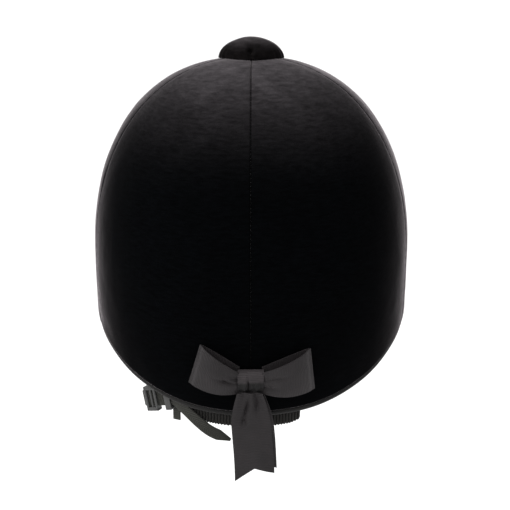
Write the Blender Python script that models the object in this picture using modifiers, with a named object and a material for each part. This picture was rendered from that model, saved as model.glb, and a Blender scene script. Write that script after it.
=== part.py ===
"""Velvet-covered equestrian riding helmet with a top button, a peak, a ribbon bow and a strap harness.

Frame: +Z up, the wearer faces -Y, and the wearer's left is +X. The origin is the centre of the wearer's
head on the level of the headband, where the helmet is widest. Metres throughout.

An azimuth is an angle round the helmet in degrees: 0 at the front, 90 at the wearer's left, 180 at the back.
A depth is measured inwards from the outer velvet, along the surface's normal.
"""

from math import asin, atan2, cos, degrees, pi, radians, sin

import bmesh
import bpy
from mathutils import Matrix, Vector

# ---- Driving dimensions ------------------------------------------------------------------------------
HALF_WIDTH = 0.104
HALF_LENGTH = 0.132
CROWN_HEIGHT = 0.1232
PLAN_POWER = 2.25  # the outline seen from above is a superellipse
SIDE_POWER = 2.30  # the arch seen from behind
LENGTH_POWER = 2.05  # the arch seen from the side
NAPE_INSET = 0.14  # how much the shell draws in towards the nape
NAPE_DEPTH = 0.076
INSET_POWER = 2.2
BUTTON_Y = -0.015  # the seams of the cover meet under the button, just forward of the middle
RIM_HEIGHTS = (  # azimuth and height of the shell's lower edge
    (0, -0.012),
    (35, -0.017),
    (70, -0.031),
    (103, -0.041),
    (125, -0.0505),
    (142, -0.063),
    (158, -0.0735),
    (170, -0.0775),
    (180, -0.0785),
)

# Layers, as depths of their outer and inner faces.
COVER = (0.0, 0.0012)
SHELL = (0.0016, 0.0046)
LINER = (0.0051, 0.0200)
LINING = (0.0206, 0.0228)
HEADBAND = (0.0206, 0.0280)
HEADBAND_LEVELS = (1.985, 1.67, 1.33, 1.0, 0.91)
LINING_LEVELS = (0.89, 0.78, 0.67, 0.56, 0.45, 0.34, 0.23)
GAP = 0.0003

SIDE_SEAM = 121.0  # azimuth of the cover's side seams, seen from the button
FRONT_STEPS, REAR_STEPS = 12, 8  # facets from the front to a side seam, and on to the back
LEVELS = (2.0, 1.67, 1.33, 1.0, 0.89, 0.78, 0.67, 0.56, 0.45, 0.34, 0.23, 0.12)
SEAM_GAP = 0.0004
VENT_RADIUS = 0.009  # the hole through liner and lining, under the button
STUD_RADIUS = 0.0027

BUTTON_RADIUS = 0.0218
BUTTON_HEIGHT = 0.0135

PEAK_END = 52.0  # azimuth where the peak runs out into the shell, each side
PEAK_LENGTH = 0.050
PEAK_SLOPE = 0.20
PEAK_BEND = 2.0  # extra fall per metre squared
PEAK_RISE = 0.0055  # the top of the peak's root above the rim
PEAK_LAYERS = {"peak_cover": (0.0, 0.0012), "peak_core": (0.0015, 0.0039), "peak_lining": (0.0042, 0.0052)}

BINDING_RADIUS = 0.0014
PIPING_RADIUS = 0.0021

RIBBON_WIDTH = 0.025
RIBBON = 0.0008
KNOT = (0.0155, 0.0060, 0.0160)
KNOT_PLACE = (0.0, 0.0, -0.0520)
LOOP_FLARE = 0.0040  # how far the lower edge of a loop stands off at its tip
TAIL_TOP = -0.0620
FRONT_TIPS = (-0.1105, -0.1078, -0.1163)
REAR_TIPS = (-0.1080, -0.1058, -0.1106)
TAIL_FRONT_Y, TAIL_REAR_Y, TAIL_HINGE_Y = 0.1290, 0.1266, 0.1278

WEBBING_WIDTH = 0.016
WEBBING = 0.0014
NAPE_WEBBING_WIDTH = 0.010
NAPE_ANCHOR = (120.0, -0.014)  # azimuth and height of the nape strap's rivets
ELASTIC = (160.0, 196.5, 0.0064, 0.0110, 0.0022)  # azimuths, drop below the rim, height and thickness
SLIDE_CENTRE = (0.0622, 0.0842, -0.0803)
SLIDE_RUN = (-0.82, 0.47, 0.21)
NAPE_SLIDE = (0.0088, 0.0160, 0.0046)
KEEPER = (0.0044, 0.0136, 0.0062)
KEEPER_AT = 0.0138  # along the strap from the slide's centre

PIVOT = (-0.002, -0.026)  # y and z of the line that the chin strap swings about
PIVOT_X = 0.0742
TUCK_ANGLE = -22.0  # the chin strap at rest points back and this far below level
RIVET_SHANK = 0.0025
RIVET_HEAD = 0.0055
LOOP_STRAIGHT = 0.008
LOOP_CORNER = (0.0560, 0.0620)
LOOP_DROP = 0.0885
# On the left leg of the chin strap, distances along it from its bend.
SOCKET = (0.0140, 0.0310)
PLUG = (0.0316, 0.0410)
PRONG_TIP = 0.0200
BUCKLE = (0.0220, 0.0080)
BUCKLE_OUT = -0.0015  # the buckle's middle, outwards from the webbing's
PLUG_TONGUE = (0.0070, 0.0024)
PRONG = (0.0018, 0.0026)
PRONG_Y = 0.0082
PRONG_OUT = -0.0009

BLACK_VELVET = ((0.012, 0.012, 0.014), 0.95, 0.0)
VELVET_EDGE = ((0.020, 0.020, 0.021), 0.85, 0.0)
BLACK_RIBBON = ((0.060, 0.055, 0.057), 0.70, 0.0)
BLACK_SHELL = ((0.020, 0.020, 0.022), 0.45, 0.0)
FOAM_BLACK = ((0.045, 0.045, 0.048), 0.90, 0.0)
LINING_GREY = ((0.055, 0.055, 0.060), 0.90, 0.0)
WEB_BLACK = ((0.035, 0.035, 0.033), 0.75, 0.0)
BUCKLE_BLACK = ((0.022, 0.022, 0.023), 0.40, 0.0)
STEEL = ((0.32, 0.32, 0.33), 0.35, 1.0)

parts = bpy.data.collections.new("riding_helmet")
cutters = bpy.data.collections.new("cutters")


# ---- Scene helpers -----------------------------------------------------------------------------------
def clear_scene():
    for obj in list(bpy.data.objects):
        bpy.data.objects.remove(obj, do_unlink=True)
    for collection in (parts, cutters):
        bpy.context.scene.collection.children.link(collection)


def material(finish):
    colour, roughness, metallic = finish
    name = "m_" + "_".join(str(round(value * 1000)) for value in (*colour, roughness, metallic))
    found = bpy.data.materials.get(name)
    if found:
        return found
    made = bpy.data.materials.new(name)
    made.use_nodes = True
    shader = made.node_tree.nodes["Principled BSDF"]
    shader.inputs["Base Color"].default_value = (*colour, 1)
    shader.inputs["Roughness"].default_value = roughness
    shader.inputs["Metallic"].default_value = metallic
    return made


def add_object(name, data, finish=None, collection=None):
    obj = bpy.data.objects.new(name, data)
    (collection or parts).objects.link(obj)
    if finish:
        data.materials.append(material(finish))
    return obj


def mesh_object(name, bm, finish, smooth=True):
    mesh = bpy.data.meshes.new(name)
    bm.to_mesh(mesh)
    bm.free()
    if smooth:
        mesh.shade_smooth()
        mesh.set_sharp_from_angle(angle=radians(35))
    return add_object(name, mesh, finish)


def solidify(obj, thickness, offset=-1.0):
    modifier = obj.modifiers.new("wall", "SOLIDIFY")
    modifier.thickness = thickness
    modifier.offset = offset
    modifier.use_even_offset = True
    modifier.use_quality_normals = True
    return obj


def sheet(name, columns, rows, place, finish, thickness, offset=-1.0, wraps=False):
    """A grid bent by place(u, v), both from 0 to 1, and given a wall on the side away from its normals."""
    bm = bmesh.new()
    bmesh.ops.create_grid(bm, x_segments=columns, y_segments=rows, size=0.5)
    for vertex in bm.verts:
        vertex.co = place(vertex.co.x + 0.5, vertex.co.y + 0.5)
    if wraps:
        bmesh.ops.remove_doubles(bm, verts=bm.verts, dist=1e-5)
    return solidify(mesh_object(name, bm, finish), thickness, offset)


def box(name, size, finish, bevel=0.0, collection=None):
    bm = bmesh.new()
    bmesh.ops.create_cube(bm, size=1.0, matrix=Matrix.Diagonal((*size, 1)))
    mesh = bpy.data.meshes.new(name)
    bm.to_mesh(mesh)
    bm.free()
    obj = add_object(name, mesh, finish, collection)
    if bevel:
        modifier = obj.modifiers.new("round", "BEVEL")
        modifier.width = bevel
        modifier.segments = 2
    return obj


def cylinder(name, radius, length, segments=20):
    """A cutter, along its own Z."""
    bm = bmesh.new()
    bmesh.ops.create_cone(bm, cap_ends=True, segments=segments, radius1=radius, radius2=radius, depth=length)
    mesh = bpy.data.meshes.new(name)
    bm.to_mesh(mesh)
    bm.free()
    return hidden(add_object(name, mesh, collection=cutters))


def hidden(obj):
    obj.hide_render = True
    obj.display_type = "WIRE"
    return obj


def boolean(obj, other, operation="DIFFERENCE"):
    modifier = obj.modifiers.new(other.name, "BOOLEAN")
    modifier.operation = operation
    modifier.solver = "EXACT"
    modifier.object = other


def turned(name, profile, finish, steps=20):
    """A profile of (radius, height), run from the top down its outer side, turned about Z."""
    bm = bmesh.new()
    corners = [bm.verts.new((radius, 0, height)) for radius, height in profile]
    for first, second in zip(corners, corners[1:]):
        bm.edges.new((first, second))
    mesh = bpy.data.meshes.new(name)
    bm.to_mesh(mesh)
    bm.free()
    obj = add_object(name, mesh, finish)
    modifier = obj.modifiers.new("turn", "SCREW")
    modifier.steps = modifier.render_steps = steps
    modifier.use_merge_vertices = True
    modifier.merge_threshold = 0.00001
    return obj


def tube(name, points, radius, finish, cyclic=False):
    curve = bpy.data.curves.new(name, "CURVE")
    curve.dimensions = "3D"
    curve.bevel_depth = radius
    curve.bevel_resolution = 1
    curve.use_fill_caps = not cyclic
    spline = curve.splines.new("POLY")
    spline.points.add(len(points) - 1)
    for corner, place in zip(spline.points, points):
        corner.co = (*place, 1)
    spline.use_cyclic_u = cyclic
    return add_object(name, curve, finish)


def basis(x_axis, y_axis, origin):
    """A placing whose X and Y run along two square directions."""
    x_axis, y_axis = Vector(x_axis).normalized(), Vector(y_axis).normalized()
    z_axis = x_axis.cross(y_axis)
    turn = Matrix((x_axis, y_axis, z_axis)).transposed().to_4x4()
    return Matrix.Translation(origin) @ turn


def smooth_line(points, count):
    """count points on a smooth curve through the given ones."""
    points = [Vector(p) for p in points]
    padded = [2 * points[0] - points[1], *points, 2 * points[-1] - points[-2]]
    line = []
    for step in range(count):
        along = step / (count - 1) * (len(points) - 1)
        start = min(int(along), len(points) - 2)
        t = along - start
        a, b, c, d = padded[start : start + 4]
        line.append(
            0.5 * (2 * b + (c - a) * t + (2 * a - 5 * b + 4 * c - d) * t * t + (3 * b - a - 3 * c + d) * t**3)
        )
    return line


def ribbon(name, line, across, width, thickness, finish, ends=None):
    """A flat strap along line. across(i) is its width's direction, and its width may change along it."""
    last = len(line) - 1

    def place(u, v):
        i = round(u * last)
        wide = width(i / last) if callable(width) else width
        place_here = line[i] + Vector(across(i)).normalized() * wide * (v - 0.5)
        return place_here + (ends(i, last, v) if ends else Vector())

    return sheet(name, last, 1 if ends is None else 2, place, finish, thickness, offset=0.0)


def strap(name, stops, width, finish, thickness=WEBBING):
    """Webbing through stops, each a place and the direction that the webbing's face looks there."""
    steps = 3 * (len(stops) - 1) + 1
    line = smooth_line([place for place, _ in stops], steps)
    faces = smooth_line([face for _, face in stops], steps)

    def across(i):
        along = line[min(i + 1, steps - 1)] - line[max(i - 1, 0)]
        return along.cross(faces[i])

    return ribbon(name, line, across, width, thickness, finish)


# ---- The helmet's outer surface ----------------------------------------------------------------------
def plan_share(x, y):
    """0 on the helmet's axis and 1 on its widest outline."""
    return ((abs(x) / HALF_WIDTH) ** PLAN_POWER + (abs(y) / HALF_LENGTH) ** PLAN_POWER) ** (1 / PLAN_POWER)


def round_azimuth(x, y):
    return degrees(atan2(abs(x), -y))


def rim_height(azimuth):
    """The lower edge's height, smooth through RIM_HEIGHTS and level at the front and back."""
    azimuth = abs((azimuth + 180) % 360 - 180)
    before = (-RIM_HEIGHTS[1][0], RIM_HEIGHTS[1][1])
    after = (360 - RIM_HEIGHTS[-2][0], RIM_HEIGHTS[-2][1])
    knots = [before, *RIM_HEIGHTS, after]
    for i in range(1, len(knots) - 2):
        if azimuth <= knots[i + 1][0] + 1e-9:
            break
    (a0, h0), (a1, h1), (a2, h2), (a3, h3) = knots[i - 1 : i + 3]
    t = (azimuth - a1) / (a2 - a1)
    slope_1 = (h2 - h0) / (a2 - a0) * (a2 - a1)
    slope_2 = (h3 - h1) / (a3 - a1) * (a2 - a1)
    return (
        (2 * t**3 - 3 * t**2 + 1) * h1
        + (t**3 - 2 * t**2 + t) * slope_1
        + (3 * t**2 - 2 * t**3) * h2
        + (t**3 - t**2) * slope_2
    )


def outline_distance(azimuth):
    """From the button's axis to the widest outline, seen from above."""
    near, far = 0.0, 2 * HALF_LENGTH
    for _ in range(40):
        middle = (near + far) / 2
        x = middle * sin(radians(azimuth))
        y = BUTTON_Y - middle * cos(radians(azimuth))
        if plan_share(x, y) < 1:
            near = middle
        else:
            far = middle
    return near


def at_height(x, y, height):
    """A point of the widest outline, carried down to a height below the headband's level."""
    azimuth = radians(round_azimuth(x, y))
    inset = NAPE_INSET * max(0.0, -cos(azimuth)) ** 1.2
    share = 1 - inset * (max(0.0, -height) / NAPE_DEPTH) ** INSET_POWER
    return Vector((x * share, y * share, height))


def back_skin(x, z):
    """How far back the outer surface is, at a place on the lower half of the back."""
    near, far = 0.0, HALF_LENGTH
    for _ in range(30):
        middle = (near + far) / 2
        inset = NAPE_INSET * max(0.0, -cos(radians(round_azimuth(x, middle)))) ** 1.2
        share = 1 - inset * (max(0.0, -z) / NAPE_DEPTH) ** INSET_POWER
        if plan_share(x / share, middle / share) < 1:
            near = middle
        else:
            far = middle
    return near


def surface(azimuth, level):
    """The outer surface. Level is 0 at the button, 1 at the headband and 2 at the lower edge."""
    distance = outline_distance(azimuth)
    reach = sin(min(level, 1.0) * pi / 2) ** (2 / SIDE_POWER)
    x = reach * distance * sin(radians(azimuth))
    y = BUTTON_Y - reach * distance * cos(radians(azimuth))
    round_angle = round_azimuth(x, y)
    if level > 1:
        return at_height(x, y, rim_height(round_angle) * (level - 1))
    power = LENGTH_POWER + (SIDE_POWER - LENGTH_POWER) * sin(radians(round_angle)) ** 2
    share = min(plan_share(x, y), 1.0)
    return Vector((x, y, CROWN_HEIGHT * (1 - share**power) ** (1 / power)))


def layer_point(azimuth, level, depth):
    step = min(0.02, level / 2)
    along = surface(azimuth + 0.5, level) - surface(azimuth - 0.5, level)
    up = surface(azimuth, level - step) - surface(azimuth, level + step)
    if level < 1 < level + step:
        up = Vector((0, 0, 1))
    return surface(azimuth, level) - along.cross(up).normalized() * depth


def rim_point(azimuth, depth, below):
    """A point below the lower edge, or above it where below is negative; the azimuth is from the origin."""
    x, y = sin(radians(azimuth)), -cos(radians(azimuth))
    scale = 1 / plan_share(x, y)
    height = rim_height(azimuth) - below
    outer = at_height(x * scale, y * scale, max(height, rim_height(azimuth)))
    ahead = radians(azimuth + 1)
    beside = Vector((sin(ahead), -cos(ahead), 0))
    beside = beside / plan_share(beside.x, beside.y)
    beside = at_height(beside.x, beside.y, outer.z)
    outward = (beside - outer).cross(Vector((0, 0, 1))).normalized()
    return Vector((outer.x, outer.y, height)) - outward * depth


def level_of_radius(azimuth, radius):
    """The level at which the surface is this far from the button's axis."""
    return asin((radius / outline_distance(azimuth)) ** (SIDE_POWER / 2)) / (pi / 2)


def azimuth_of(column):
    """The azimuth of a column of facets. Every layer shares these columns, so that their facets nest."""
    half = FRONT_STEPS + REAR_STEPS
    if column > half:
        return 360 - azimuth_of(2 * half - column)
    if column > FRONT_STEPS:
        return SIDE_SEAM + (180 - SIDE_SEAM) * (column - FRONT_STEPS) / REAR_STEPS
    return SIDE_SEAM * column / FRONT_STEPS


def dome(name, depths, levels, finish, columns=None, hole=None):
    """A layer of the helmet between two columns of facets, up through the levels to a hole at the crown."""
    first, last = columns or (0, 2 * (FRONT_STEPS + REAR_STEPS))
    rows = len(levels) - (hole is None)

    def place(u, v):
        azimuth = azimuth_of(first + round(u * (last - first)))
        row = round(v * rows)
        level = levels[row] if row < len(levels) else level_of_radius(azimuth, hole)
        point = layer_point(azimuth, level, depths[0])
        if columns and u in (0.0, 1.0):
            along = (layer_point(azimuth + 1, 1, 0) - layer_point(azimuth - 1, 1, 0)).normalized()
            point += along * (SEAM_GAP / 2 if u == 0.0 else -SEAM_GAP / 2)
        return point

    return sheet(name, last - first, rows, place, finish, depths[1] - depths[0], wraps=columns is None)


# ---- Cover, shell and padding ------------------------------------------------------------------------
def cover_panels():
    half = FRONT_STEPS + REAR_STEPS
    columns = {
        "cover_front_left": (0, FRONT_STEPS),
        "cover_rear_left": (FRONT_STEPS, half),
        "cover_rear_right": (half, half + REAR_STEPS),
        "cover_front_right": (half + REAR_STEPS, 2 * half),
    }
    for name, span in columns.items():
        dome(name, COVER, LEVELS, BLACK_VELVET, span, hole=0.0075)


def crown_pad():
    """A round pad whose flat face rests on the top of the head."""
    radius, face = 0.031, 0.0860
    roof = CROWN_HEIGHT - LINING[1] - 0.0034
    bulge = [
        (radius * sin(angle), face + 0.004 + (roof - face - 0.004) * cos(angle))
        for angle in (pi / 2 * i / 5 for i in range(6))
    ]
    bulge[0] = (0.0, bulge[0][1])
    underside = [(radius, face + 0.001), (radius - 0.001, face), (0.0, face)]
    pad = turned("crown_pad", [*bulge, *underside], FOAM_BLACK, 28)
    pad.location = (0, BUTTON_Y * 0.4, 0)
    return pad


def rim_binding():
    places = [rim_point(360 * i / 60, 0.0024, GAP + BINDING_RADIUS) for i in range(60)]
    return tube("rim_binding", places, BINDING_RADIUS, VELVET_EDGE, cyclic=True)


# ---- Peak --------------------------------------------------------------------------------------------
def peak_point(azimuth, share, drop):
    """On the peak: share is 0 at the shell and 1 at the free edge."""
    root = rim_point(azimuth, -0.0006, -PEAK_RISE)
    reach = PEAK_LENGTH * (1 - (azimuth / PEAK_END) ** 2) ** 0.75 * share + 0.0006
    turn = radians(azimuth * 0.8)
    out = Vector((sin(turn), -cos(turn), 0)) * reach
    return root + out + Vector((0, 0, -PEAK_SLOPE * reach - PEAK_BEND * reach**2 - drop))


def peak():
    limit = PEAK_END - 1.0

    def layer(depths, margin):
        def place(u, v):
            return peak_point(-limit + 2 * limit * u, (1 - v) * margin, depths[0])

        return place

    for name, depths in PEAK_LAYERS.items():
        finish = FOAM_BLACK if name == "peak_core" else BLACK_VELVET
        sheet(name, 20, 4, layer(depths, 0.985), finish, depths[1] - depths[0])
    edge = [peak_point(-limit + 2 * limit * i / 24, 1.0, 0.0026) for i in range(25)]
    inner = PIPING_RADIUS + 0.0006
    edge = [p + Vector((p.x * 0.4, p.y + 0.1, 0)).normalized() * inner for p in edge]
    tube("peak_piping", edge, PIPING_RADIUS, BLACK_VELVET)


# ---- Top button --------------------------------------------------------------------------------------
def button_placing():
    """At the crown, with Z square to the velvet."""
    ahead, behind = surface(0, 0.1), surface(180, 0.1)
    normal = Vector((1, 0, 0)).cross(behind - ahead).normalized()
    return Matrix.Translation(surface(0, 0.0)) @ normal.to_track_quat("Z", "Y").to_matrix().to_4x4()


def dome_profile(radius, height, base, count):
    """From the top of a cap down its outer side, close to a quarter of an ellipse."""
    profile = []
    for i in range(count + 1):
        angle = pi / 2 * i / count
        profile.append((radius * sin(angle) ** 1.06, base + height * cos(angle) ** 1.03))
    profile[0], profile[-1] = (0.0, base + height), (radius, base)
    return profile


def top_button():
    base = -0.0009  # the button's rim lies this far below the crown at its centre, just clear of the velvet
    top, wall = BUTTON_HEIGHT + base, 0.0013
    outer = dome_profile(BUTTON_RADIUS, BUTTON_HEIGHT, base, 7)
    inner = dome_profile(BUTTON_RADIUS - wall, top - wall - base - 0.0002, base + 0.0002, 6)
    cover = turned("button_cover", [*outer, *reversed(inner)], BLACK_VELVET, 26)
    core_side = dome_profile(BUTTON_RADIUS - wall - 0.0004, top - wall - 0.0010 - base, base + 0.0006, 5)
    bore = STUD_RADIUS + GAP
    core_floor = [(BUTTON_RADIUS - 0.0045, 0.0004), (bore, 0.0008), (bore, 0.0075), (0, 0.0075)]
    core = turned("button_core", [*core_side, *core_floor], BLACK_SHELL, 22)
    stud = [(0, 0.0071), (STUD_RADIUS, 0.0071), (STUD_RADIUS, -0.0118), (0, -0.0118)]
    stud = turned("button_stud", stud, STEEL, 14)
    washer = [(bore, -0.0066), (0.0062, -0.0066), (0.0062, -0.0072)]
    hexagon = [(0.0044, -0.0074), (0.0044, -0.0104), (bore, -0.0104), (bore, -0.0066)]
    nut = turned("button_nut", [*washer, *hexagon], STEEL, 12)
    for obj in (cover, core, stud, nut):
        obj.matrix_world = button_placing()


# ---- Bow ---------------------------------------------------------------------------------------------
def bow_loop(name, side, tip_top, tip_bottom):
    """One loop of ribbon: out from the knot, folded at its end and back between itself and the helmet."""
    root_x = side * (KNOT[0] / 2 + 0.0006)
    steps = 11

    def place(u, v):
        turn = 2 * u - 1  # -1 at the knot in front, 0 at the fold, 1 at the knot behind
        out = 1 - abs(turn)
        lift = 0.0035 * (1 - out) if turn > 0 else 0.0
        root_bottom = Vector((root_x, 0, KNOT_PLACE[2] - 0.0080 + lift))
        root_top = Vector((root_x, 0, KNOT_PLACE[2] + 0.0068 + lift))
        lower = root_bottom.lerp(Vector((tip_bottom[0], 0, tip_bottom[1])), out)
        upper = root_top.lerp(Vector((tip_top[0], 0, tip_top[1])), out)
        point = lower.lerp(upper, v)
        point.z += 0.0012 * sin(out * pi) * (2 * v - 1)
        belly = 0.0012 + 0.0030 * sin(min(1.0, out * 1.05) * pi) ** 0.8
        flare = LOOP_FLARE * out * (1 - v)
        sign = max(-1.0, min(1.0, turn / 0.09))
        point.y = back_skin(point.x, point.z) + 0.0024 + belly - sign * belly + flare
        if turn > 0.09:
            point.y = back_skin(point.x, point.z) + 0.0012 + flare
        return point

    return sheet(name, 2 * steps, 3, place, BLACK_RIBBON, RIBBON, offset=0.0)


def bow():
    bow_loop("bow_loop_left", 1, (0.0295, -0.0281), (0.0368, -0.0536))
    bow_loop("bow_loop_right", -1, (-0.0350, -0.0311), (-0.0381, -0.0584))
    knot = box("bow_knot", KNOT, BLACK_RIBBON, 0.0018)
    top, bottom = (back_skin(0, KNOT_PLACE[2] + shift) for shift in (0.008, -0.008))
    knot.location = (KNOT_PLACE[0], (top + bottom) / 2 + KNOT[1] / 2 + 0.0006, KNOT_PLACE[2])
    knot.rotation_euler = (-atan2(top - bottom, 0.016), 0, 0)


def bow_tail(name, y, top_x, bottom_x, tips, turn):
    """A hanging ribbon end with a swallowtail cut. Tips are its right, notch and left heights."""
    rows = 9
    height = sum(tips) / 3
    line = []
    for i in range(rows + 1):
        share = i / rows
        line.append(Vector((top_x + (bottom_x - top_x) * share, y, TAIL_TOP + (height - TAIL_TOP) * share)))

    def width(share):
        return 0.0165 + (RIBBON_WIDTH - 0.0165) * min(1.0, share * 2.6)

    def across(i):
        angle = radians(turn * i / rows)
        return (cos(angle), sin(angle), 0)

    def ends(i, last, v):
        reach = (i / last) ** 4
        return Vector((0, 0, (tips[round(2 * v)] - height) * reach))

    return ribbon(name, line, across, width, RIBBON, BLACK_RIBBON, ends)


# ---- Nape straps, which stay with the shell ----------------------------------------------------------
def upright(_):
    return (0, 0, 1)


def outward(azimuth):
    """The level direction out of the rim at an azimuth."""
    return (rim_point(azimuth, 0.0, 0.0) - rim_point(azimuth, 0.01, 0.0)).normalized()


def slide_placing(along=0.0, out=0.0):
    """On the straight run of the left nape strap: X along it, Y across its width, Z out of its outer face."""
    run = Vector(SLIDE_RUN).normalized()
    face = Vector((run.y, -run.x, 0)).normalized()
    across = face.cross(run)
    centre = Vector(SLIDE_CENTRE) + run * along + face * out
    return basis(run, across, centre)


def inside(azimuth, height, depth=0.0300):
    """A place on the headband's inner side and the direction out of it."""
    return rim_point(azimuth, depth, rim_height(azimuth) - height), outward(azimuth)


def nape_harness():
    start, end, drop, height, thickness = ELASTIC
    azimuths = [start + (end - start) * i / 12 for i in range(13)]
    elastic = [rim_point(azimuth, 0.0072, drop) for azimuth in azimuths]

    def tall(share):
        near_end = min(share, 1 - share) / 0.09
        return height * (0.72 + 0.28 * min(1.0, near_end))

    ribbon("nape_elastic", elastic, upright, tall, thickness, WEB_BLACK)

    face = slide_placing().col[2].to_3d()
    side = -slide_placing().col[0].to_3d()
    run = [(slide_placing(along).translation, face) for along in (-0.0056, -0.003, 0.003, 0.009, 0.0165)]
    joining = [(rim_point(start + 1.2, 0.0106, drop - 0.0010), outward(start + 1.2))]
    left = [
        inside(NAPE_ANCHOR[0] - 3.5, NAPE_ANCHOR[1] + 0.007),
        inside(*NAPE_ANCHOR),
        inside(122.5, -0.026),
        inside(126.0, -0.040, 0.0312),
        inside(130.0, -0.054, 0.0318),
        (Vector((0.0640, 0.0668, -0.0670)), Vector((0.95, 0.3, 0.0))),
        (Vector((0.0612, 0.0745, -0.0780)), Vector((0.95, 0.1, 0.0))),
        (slide_placing(-0.0066, -0.0046).translation, side),
        (slide_placing(-0.0068, -0.0016).translation, side + face * 0.4),
        *run,
        *joining,
    ]
    strap_left = strap("nape_strap_left", left, NAPE_WEBBING_WIDTH, WEB_BLACK)

    radial = outward(187.0)
    up = Vector((0, 0, 1))
    lead = [(0.0099, 0.0100), (0.0099, 0.0045), (0.0118, 0.0020)]
    lead += [(0.0190, 0.0018), (0.0295, 0.0019), (0.0336, -0.0008)]
    turns = [radial, radial, radial + up, up, up, up + radial]
    right = [(rim_point(187.0, depth, below), turn) for (depth, below), turn in zip(lead, turns)]
    right.append((rim_point(187.2, 0.0348, -0.0080), radial))
    for azimuth, height, depth in (
        (190.0, -0.0600, 0.0352),
        (197.0, -0.0530, 0.0352),
        (205.0, -0.0460, 0.0344),
        (214.0, -0.0380, 0.0332),
        (223.0, -0.0300, 0.0320),
        (232.0, -0.0215, 0.0306),
        (360 - NAPE_ANCHOR[0], NAPE_ANCHOR[1], 0.0300),
        (364 - NAPE_ANCHOR[0], NAPE_ANCHOR[1] + 0.004, 0.0300),
    ):
        right.append(inside(azimuth, height, depth))
    strap_right = strap("nape_strap_right", right, NAPE_WEBBING_WIDTH, WEB_BLACK)
    return strap_left, strap_right


def slotted(name, size, slot, place, lift=0.0):
    """A block threaded on the nape strap, with a slot right along it."""
    block = box(name, size, BUCKLE_BLACK, 0.0006)
    block.matrix_world = place
    cutter = hidden(box(name + "_slot", (0.05, *slot), None, collection=cutters))
    cutter.matrix_world = place @ Matrix.Translation((0, 0, lift))
    boolean(block, cutter)
    return block


def nape_adjuster():
    """The slide on the strap at the wearer's left, with three bars across the webbing, and its keeper."""
    slot = NAPE_WEBBING_WIDTH + 0.0008
    frame = slotted("nape_adjuster", NAPE_SLIDE, (slot, WEBBING + 0.0014), slide_placing())
    for i, shift in enumerate((-0.00185, 0.00185)):
        window = hidden(box(f"adjuster_window_{i}", (0.0021, slot - 0.0006, 0.02), None, collection=cutters))
        window.matrix_world = slide_placing(shift)
        boolean(frame, window)
    slotted("strap_keeper", KEEPER, (slot + 0.0004, 0.0046), slide_placing(KEEPER_AT, 0.0011))


def nape_tongue():
    """The strap's free end, which hangs below the rim and points towards the middle of the back."""
    face = slide_placing().col[2].to_3d()
    stops = [
        (slide_placing(KEEPER_AT - 0.0020, 0.0023).translation, face),
        (slide_placing(KEEPER_AT + 0.0030, 0.0023).translation, face),
        (Vector((0.0410, 0.1022, -0.0803)), Vector((0.45, 0.85, 0.0))),
        (Vector((0.0266, 0.1064, -0.0920)), Vector((0.2, 0.9, 0.35))),
        (Vector((0.0126, 0.1064, -0.0990)), Vector((0.1, 0.9, 0.35))),
    ]
    line = smooth_line([place for place, _ in stops], 14)
    faces = smooth_line([turn for _, turn in stops], 14)

    def width(share):
        return 0.0070 if share < 0.84 else 0.0070 * (1.08 - share) / 0.24

    def across(i):
        along = line[min(i + 1, 13)] - line[max(i - 1, 0)]
        return along.cross(faces[i])

    ribbon("nape_strap_tongue", line, across, width, WEBBING, WEB_BLACK)
    hang = slide_placing(KEEPER_AT + 0.0058, -0.0026).translation
    tab = [hang + Vector((0, 0, 0.0010 - 0.0036 * i)) for i in range(5)]
    ribbon("strap_tab", tab, lambda i: (0.8, -0.45, 0.0), 0.0055, WEBBING, WEB_BLACK)


# ---- Chin strap, which swings about the side rivets --------------------------------------------------
def loop_frame():
    """Places the strap's own plane: X is the wearer's left, Y runs away from the pivots, Z is its width."""
    turn = radians(TUCK_ANGLE)
    return basis((1, 0, 0), (0, cos(turn), sin(turn)), (0, *PIVOT))


def loop_line(start, end):
    """Points of the strap between two lengths, measured from the left rivet round to the right one."""
    corner = Vector((*LOOP_CORNER, 0))
    begin = Vector((PIVOT_X, -0.007, 0))
    bend = Vector((PIVOT_X, LOOP_STRAIGHT, 0))
    run = (corner - bend).normalized()
    control = [corner, corner + run * 0.020, Vector((0.026, LOOP_DROP, 0)), Vector((0, LOOP_DROP, 0))]
    half = [begin, Vector((PIVOT_X, 0, 0)), bend, *[bend.lerp(corner, i / 8) for i in range(1, 9)]]
    for i in range(1, 9):
        t = i / 8
        weights = ((1 - t) ** 3, 3 * t * (1 - t) ** 2, 3 * t * t * (1 - t), t**3)
        half.append(sum((w * p for w, p in zip(weights, control)), Vector()))
    whole = [*half, *[Vector((-p.x, p.y, 0)) for p in reversed(half[:-1])]]
    lengths = [0.0]
    for a, b in zip(whole, whole[1:]):
        lengths.append(lengths[-1] + (b - a).length)
    kept = [point_on(whole, lengths, start)]
    kept += [p for p, s in zip(whole, lengths) if start + 1e-4 < s < end - 1e-4]
    return [*kept, point_on(whole, lengths, end)], lengths[-1]


def point_on(line, lengths, at):
    for i in range(1, len(line)):
        if lengths[i] >= at:
            break
    share = (at - lengths[i - 1]) / (lengths[i] - lengths[i - 1])
    return line[i - 1].lerp(line[i], min(max(share, 0), 1))


def leg_placing(along, out=0.0):
    """A placing on the left leg of the loop: X along the strap, Y across its width, Z out of its face."""
    frame = loop_frame()
    bend = Vector((PIVOT_X, LOOP_STRAIGHT, 0))
    run = (Vector((*LOOP_CORNER, 0)) - bend).normalized()
    face = Vector((run.y, -run.x, 0))
    turn = frame.to_3x3()
    centre = frame @ (bend + run * along + face * out)
    return basis(turn @ run, turn @ Vector((0, 0, -1)), centre)


def in_loop(obj):
    obj.matrix_world = loop_frame()
    return obj


def strap_length_to(along):
    """The strap's length at a distance along the left leg, past its bend."""
    return 0.007 + LOOP_STRAIGHT + along


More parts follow.
